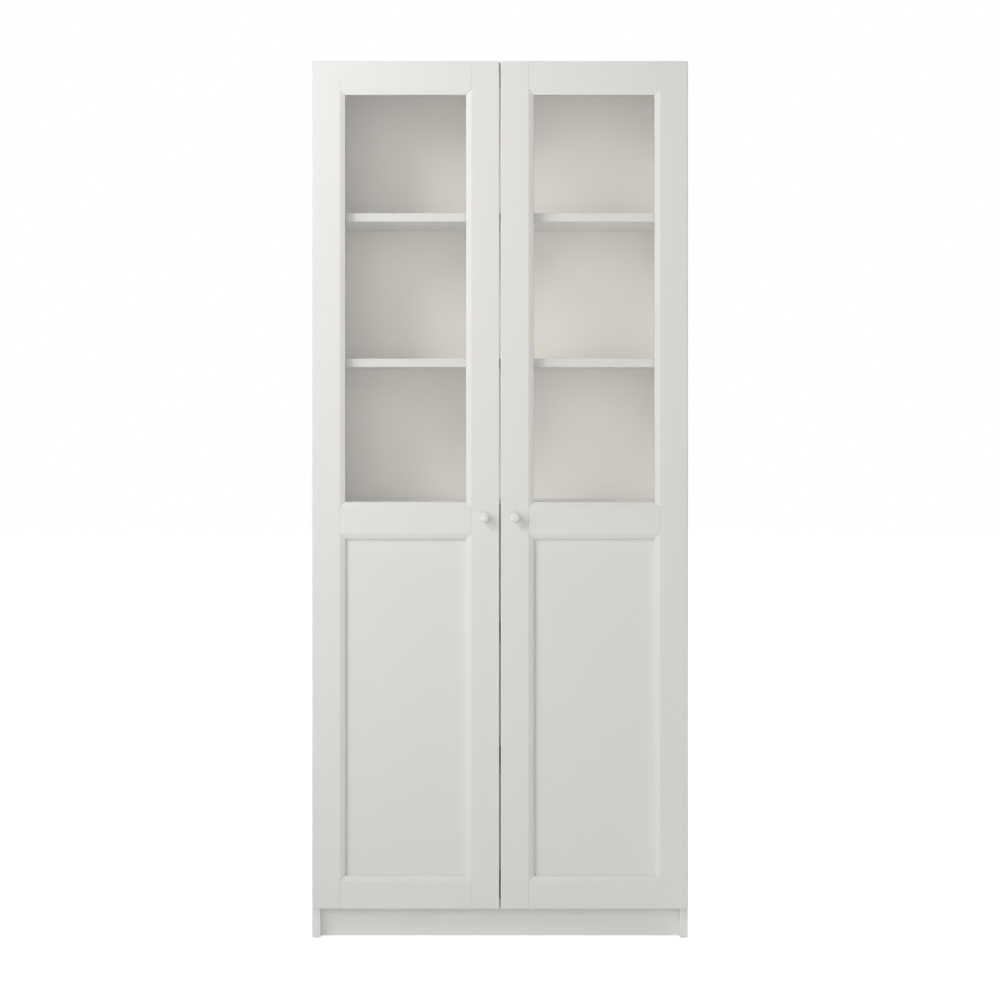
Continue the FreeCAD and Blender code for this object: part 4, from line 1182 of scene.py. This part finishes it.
def lay_floor(studio):
    """Pale floor that keeps the bookcase's shadow and grows white away from it."""
    mesh = bpy.data.meshes.new("studio_floor")
    corners = [(FLOOR_REACH * x, FLOOR_REACH * y, 0) for x, y in ((-1, -1), (1, -1), (1, 1), (-1, 1))]
    mesh.from_pydata(corners, [], [(0, 1, 2, 3)])
    floor = put("studio_floor", mesh)
    paint = Finish("floor_paint")
    colour = paint.shades(paint.noise(0.8), studio.floor_colour, 0.99, 1.0)
    matt = paint.first("ShaderNodeBsdfDiffuse", {"Color": colour})
    away = paint.number("ShaderNodeVectorMath", "Value", {"operation": "LENGTH"}, {0: paint.place})
    level = paint.number(
        "ShaderNodeMapRange", 0, {"interpolation_type": "SMOOTHSTEP"},
        {
            "Value": away, "From Min": GLOW_START, "From Max": GLOW_END,
            "To Min": studio.floor_glow, "To Max": 1.0,
        },
    )
    glow = paint.first(
        "ShaderNodeEmission", {"Color": (1, 1, 1, 1), "Strength": white_rays(paint) * level}
    )
    paint.end_in(paint.first("ShaderNodeAddShader", {0: matt, 1: glow}))
    mesh.materials.append(paint.material)


def white_rays(tree):
    """1 for what the eye, a reflection or a look through glass meets, 0 for light on the object."""
    ray = tree.node("ShaderNodeLightPath").outputs
    seen = Number(tree, ray["Is Camera Ray"])
    return seen.at_least(ray["Is Glossy Ray"]).at_least(ray["Is Transmission Ray"])


def light_surroundings(studio):
    """Even light all round, which shows as plain white."""
    worlds = bpy.data.worlds
    world = worlds.get("studio_surroundings") or worlds.new("studio_surroundings")
    bpy.context.scene.world = world
    world.use_nodes = True
    tree = Tree(world.node_tree)
    seen = white_rays(tree)
    level = seen + (1 - seen) * studio.fill_level
    light = tree.first("ShaderNodeBackground", {"Color": (1, 1, 1, 1), "Strength": level})
    tree.node("ShaderNodeOutputWorld", None, {"Surface": light})


def hang_lamp(name, place, size, power):
    """A soft round lamp that faces the middle of the doors, and isn't seen itself or in a reflection."""
    lamp = bpy.data.lights.new(name, "AREA")
    lamp.shape = "DISK"
    lamp.size = size
    lamp.energy = power
    holder = put(name, lamp)
    holder.visible_camera = False
    holder.visible_glossy = False
    turn = (LAMP_AIM - place).to_track_quat("-Z", "Y").to_matrix().to_4x4()
    holder.matrix_world = Matrix.Translation(place) @ turn


def set_camera(scene):
    """Level camera straight in front."""
    lens = bpy.data.cameras.new("front_camera")
    lens.lens = CAMERA_LENS
    lens.sensor_width = 36
    lens.shift_y = CAMERA_SHIFT
    lens.clip_end = 100
    camera = put("front_camera", lens)
    camera.matrix_world = Matrix.Translation(CAMERA_PLACE) @ Matrix.Rotation(math.pi / 2, 4, "X")
    scene.camera = camera


STEPS = (
    BOOKCASE_OT_boards, BOOKCASE_OT_shelves, BOOKCASE_OT_back, BOOKCASE_OT_door_frames,
    BOOKCASE_OT_door_panels, BOOKCASE_OT_panes, BOOKCASE_OT_knobs, BOOKCASE_OT_hinges,
    BOOKCASE_OT_screws, BOOKCASE_OT_cams, BOOKCASE_OT_dowels, BOOKCASE_OT_brackets,
    BOOKCASE_OT_feet, BOOKCASE_OT_studio,
)
SETTINGS = {
    "bookcase_colours": BookcaseColours,
    "bookcase_sizes": BookcaseSizes,
    "bookcase_studio": BookcaseStudio,
}


class BOOKCASE_PT_sidebar(bpy.types.Panel):
    """The bookcase's settings and steps"""

    bl_idname = "BOOKCASE_PT_sidebar"
    bl_label = "Glass-Door Bookcase"
    bl_space_type = "VIEW_3D"
    bl_region_type = "UI"
    bl_category = "Bookcase"

    def draw(self, context):
        for group in SETTINGS:
            box = self.layout.box()
            settings = getattr(context.scene, group)
            for setting in settings.bl_rna.properties:
                if setting.identifier not in ("rna_type", "name"):
                    box.prop(settings, setting.identifier)
        for step in STEPS:
            self.layout.operator(step.bl_idname)


CLASSES = (*SETTINGS.values(), *STEPS, BOOKCASE_PT_sidebar)


def register():
    for item in CLASSES:
        bpy.utils.register_class(item)
    for group, kind in SETTINGS.items():
        setattr(bpy.types.Scene, group, bpy.props.PointerProperty(type=kind))


def unregister():
    for group in SETTINGS:
        delattr(bpy.types.Scene, group)
    for item in reversed(CLASSES):
        bpy.utils.unregister_class(item)


def main():
    register()
    for step in STEPS:
        if getattr(bpy.ops.bookcase, step.bl_idname.split(".")[1])() != {"FINISHED"}:
            raise RuntimeError(step.bl_label + " did not finish")


if __name__ == "__main__":
    main()
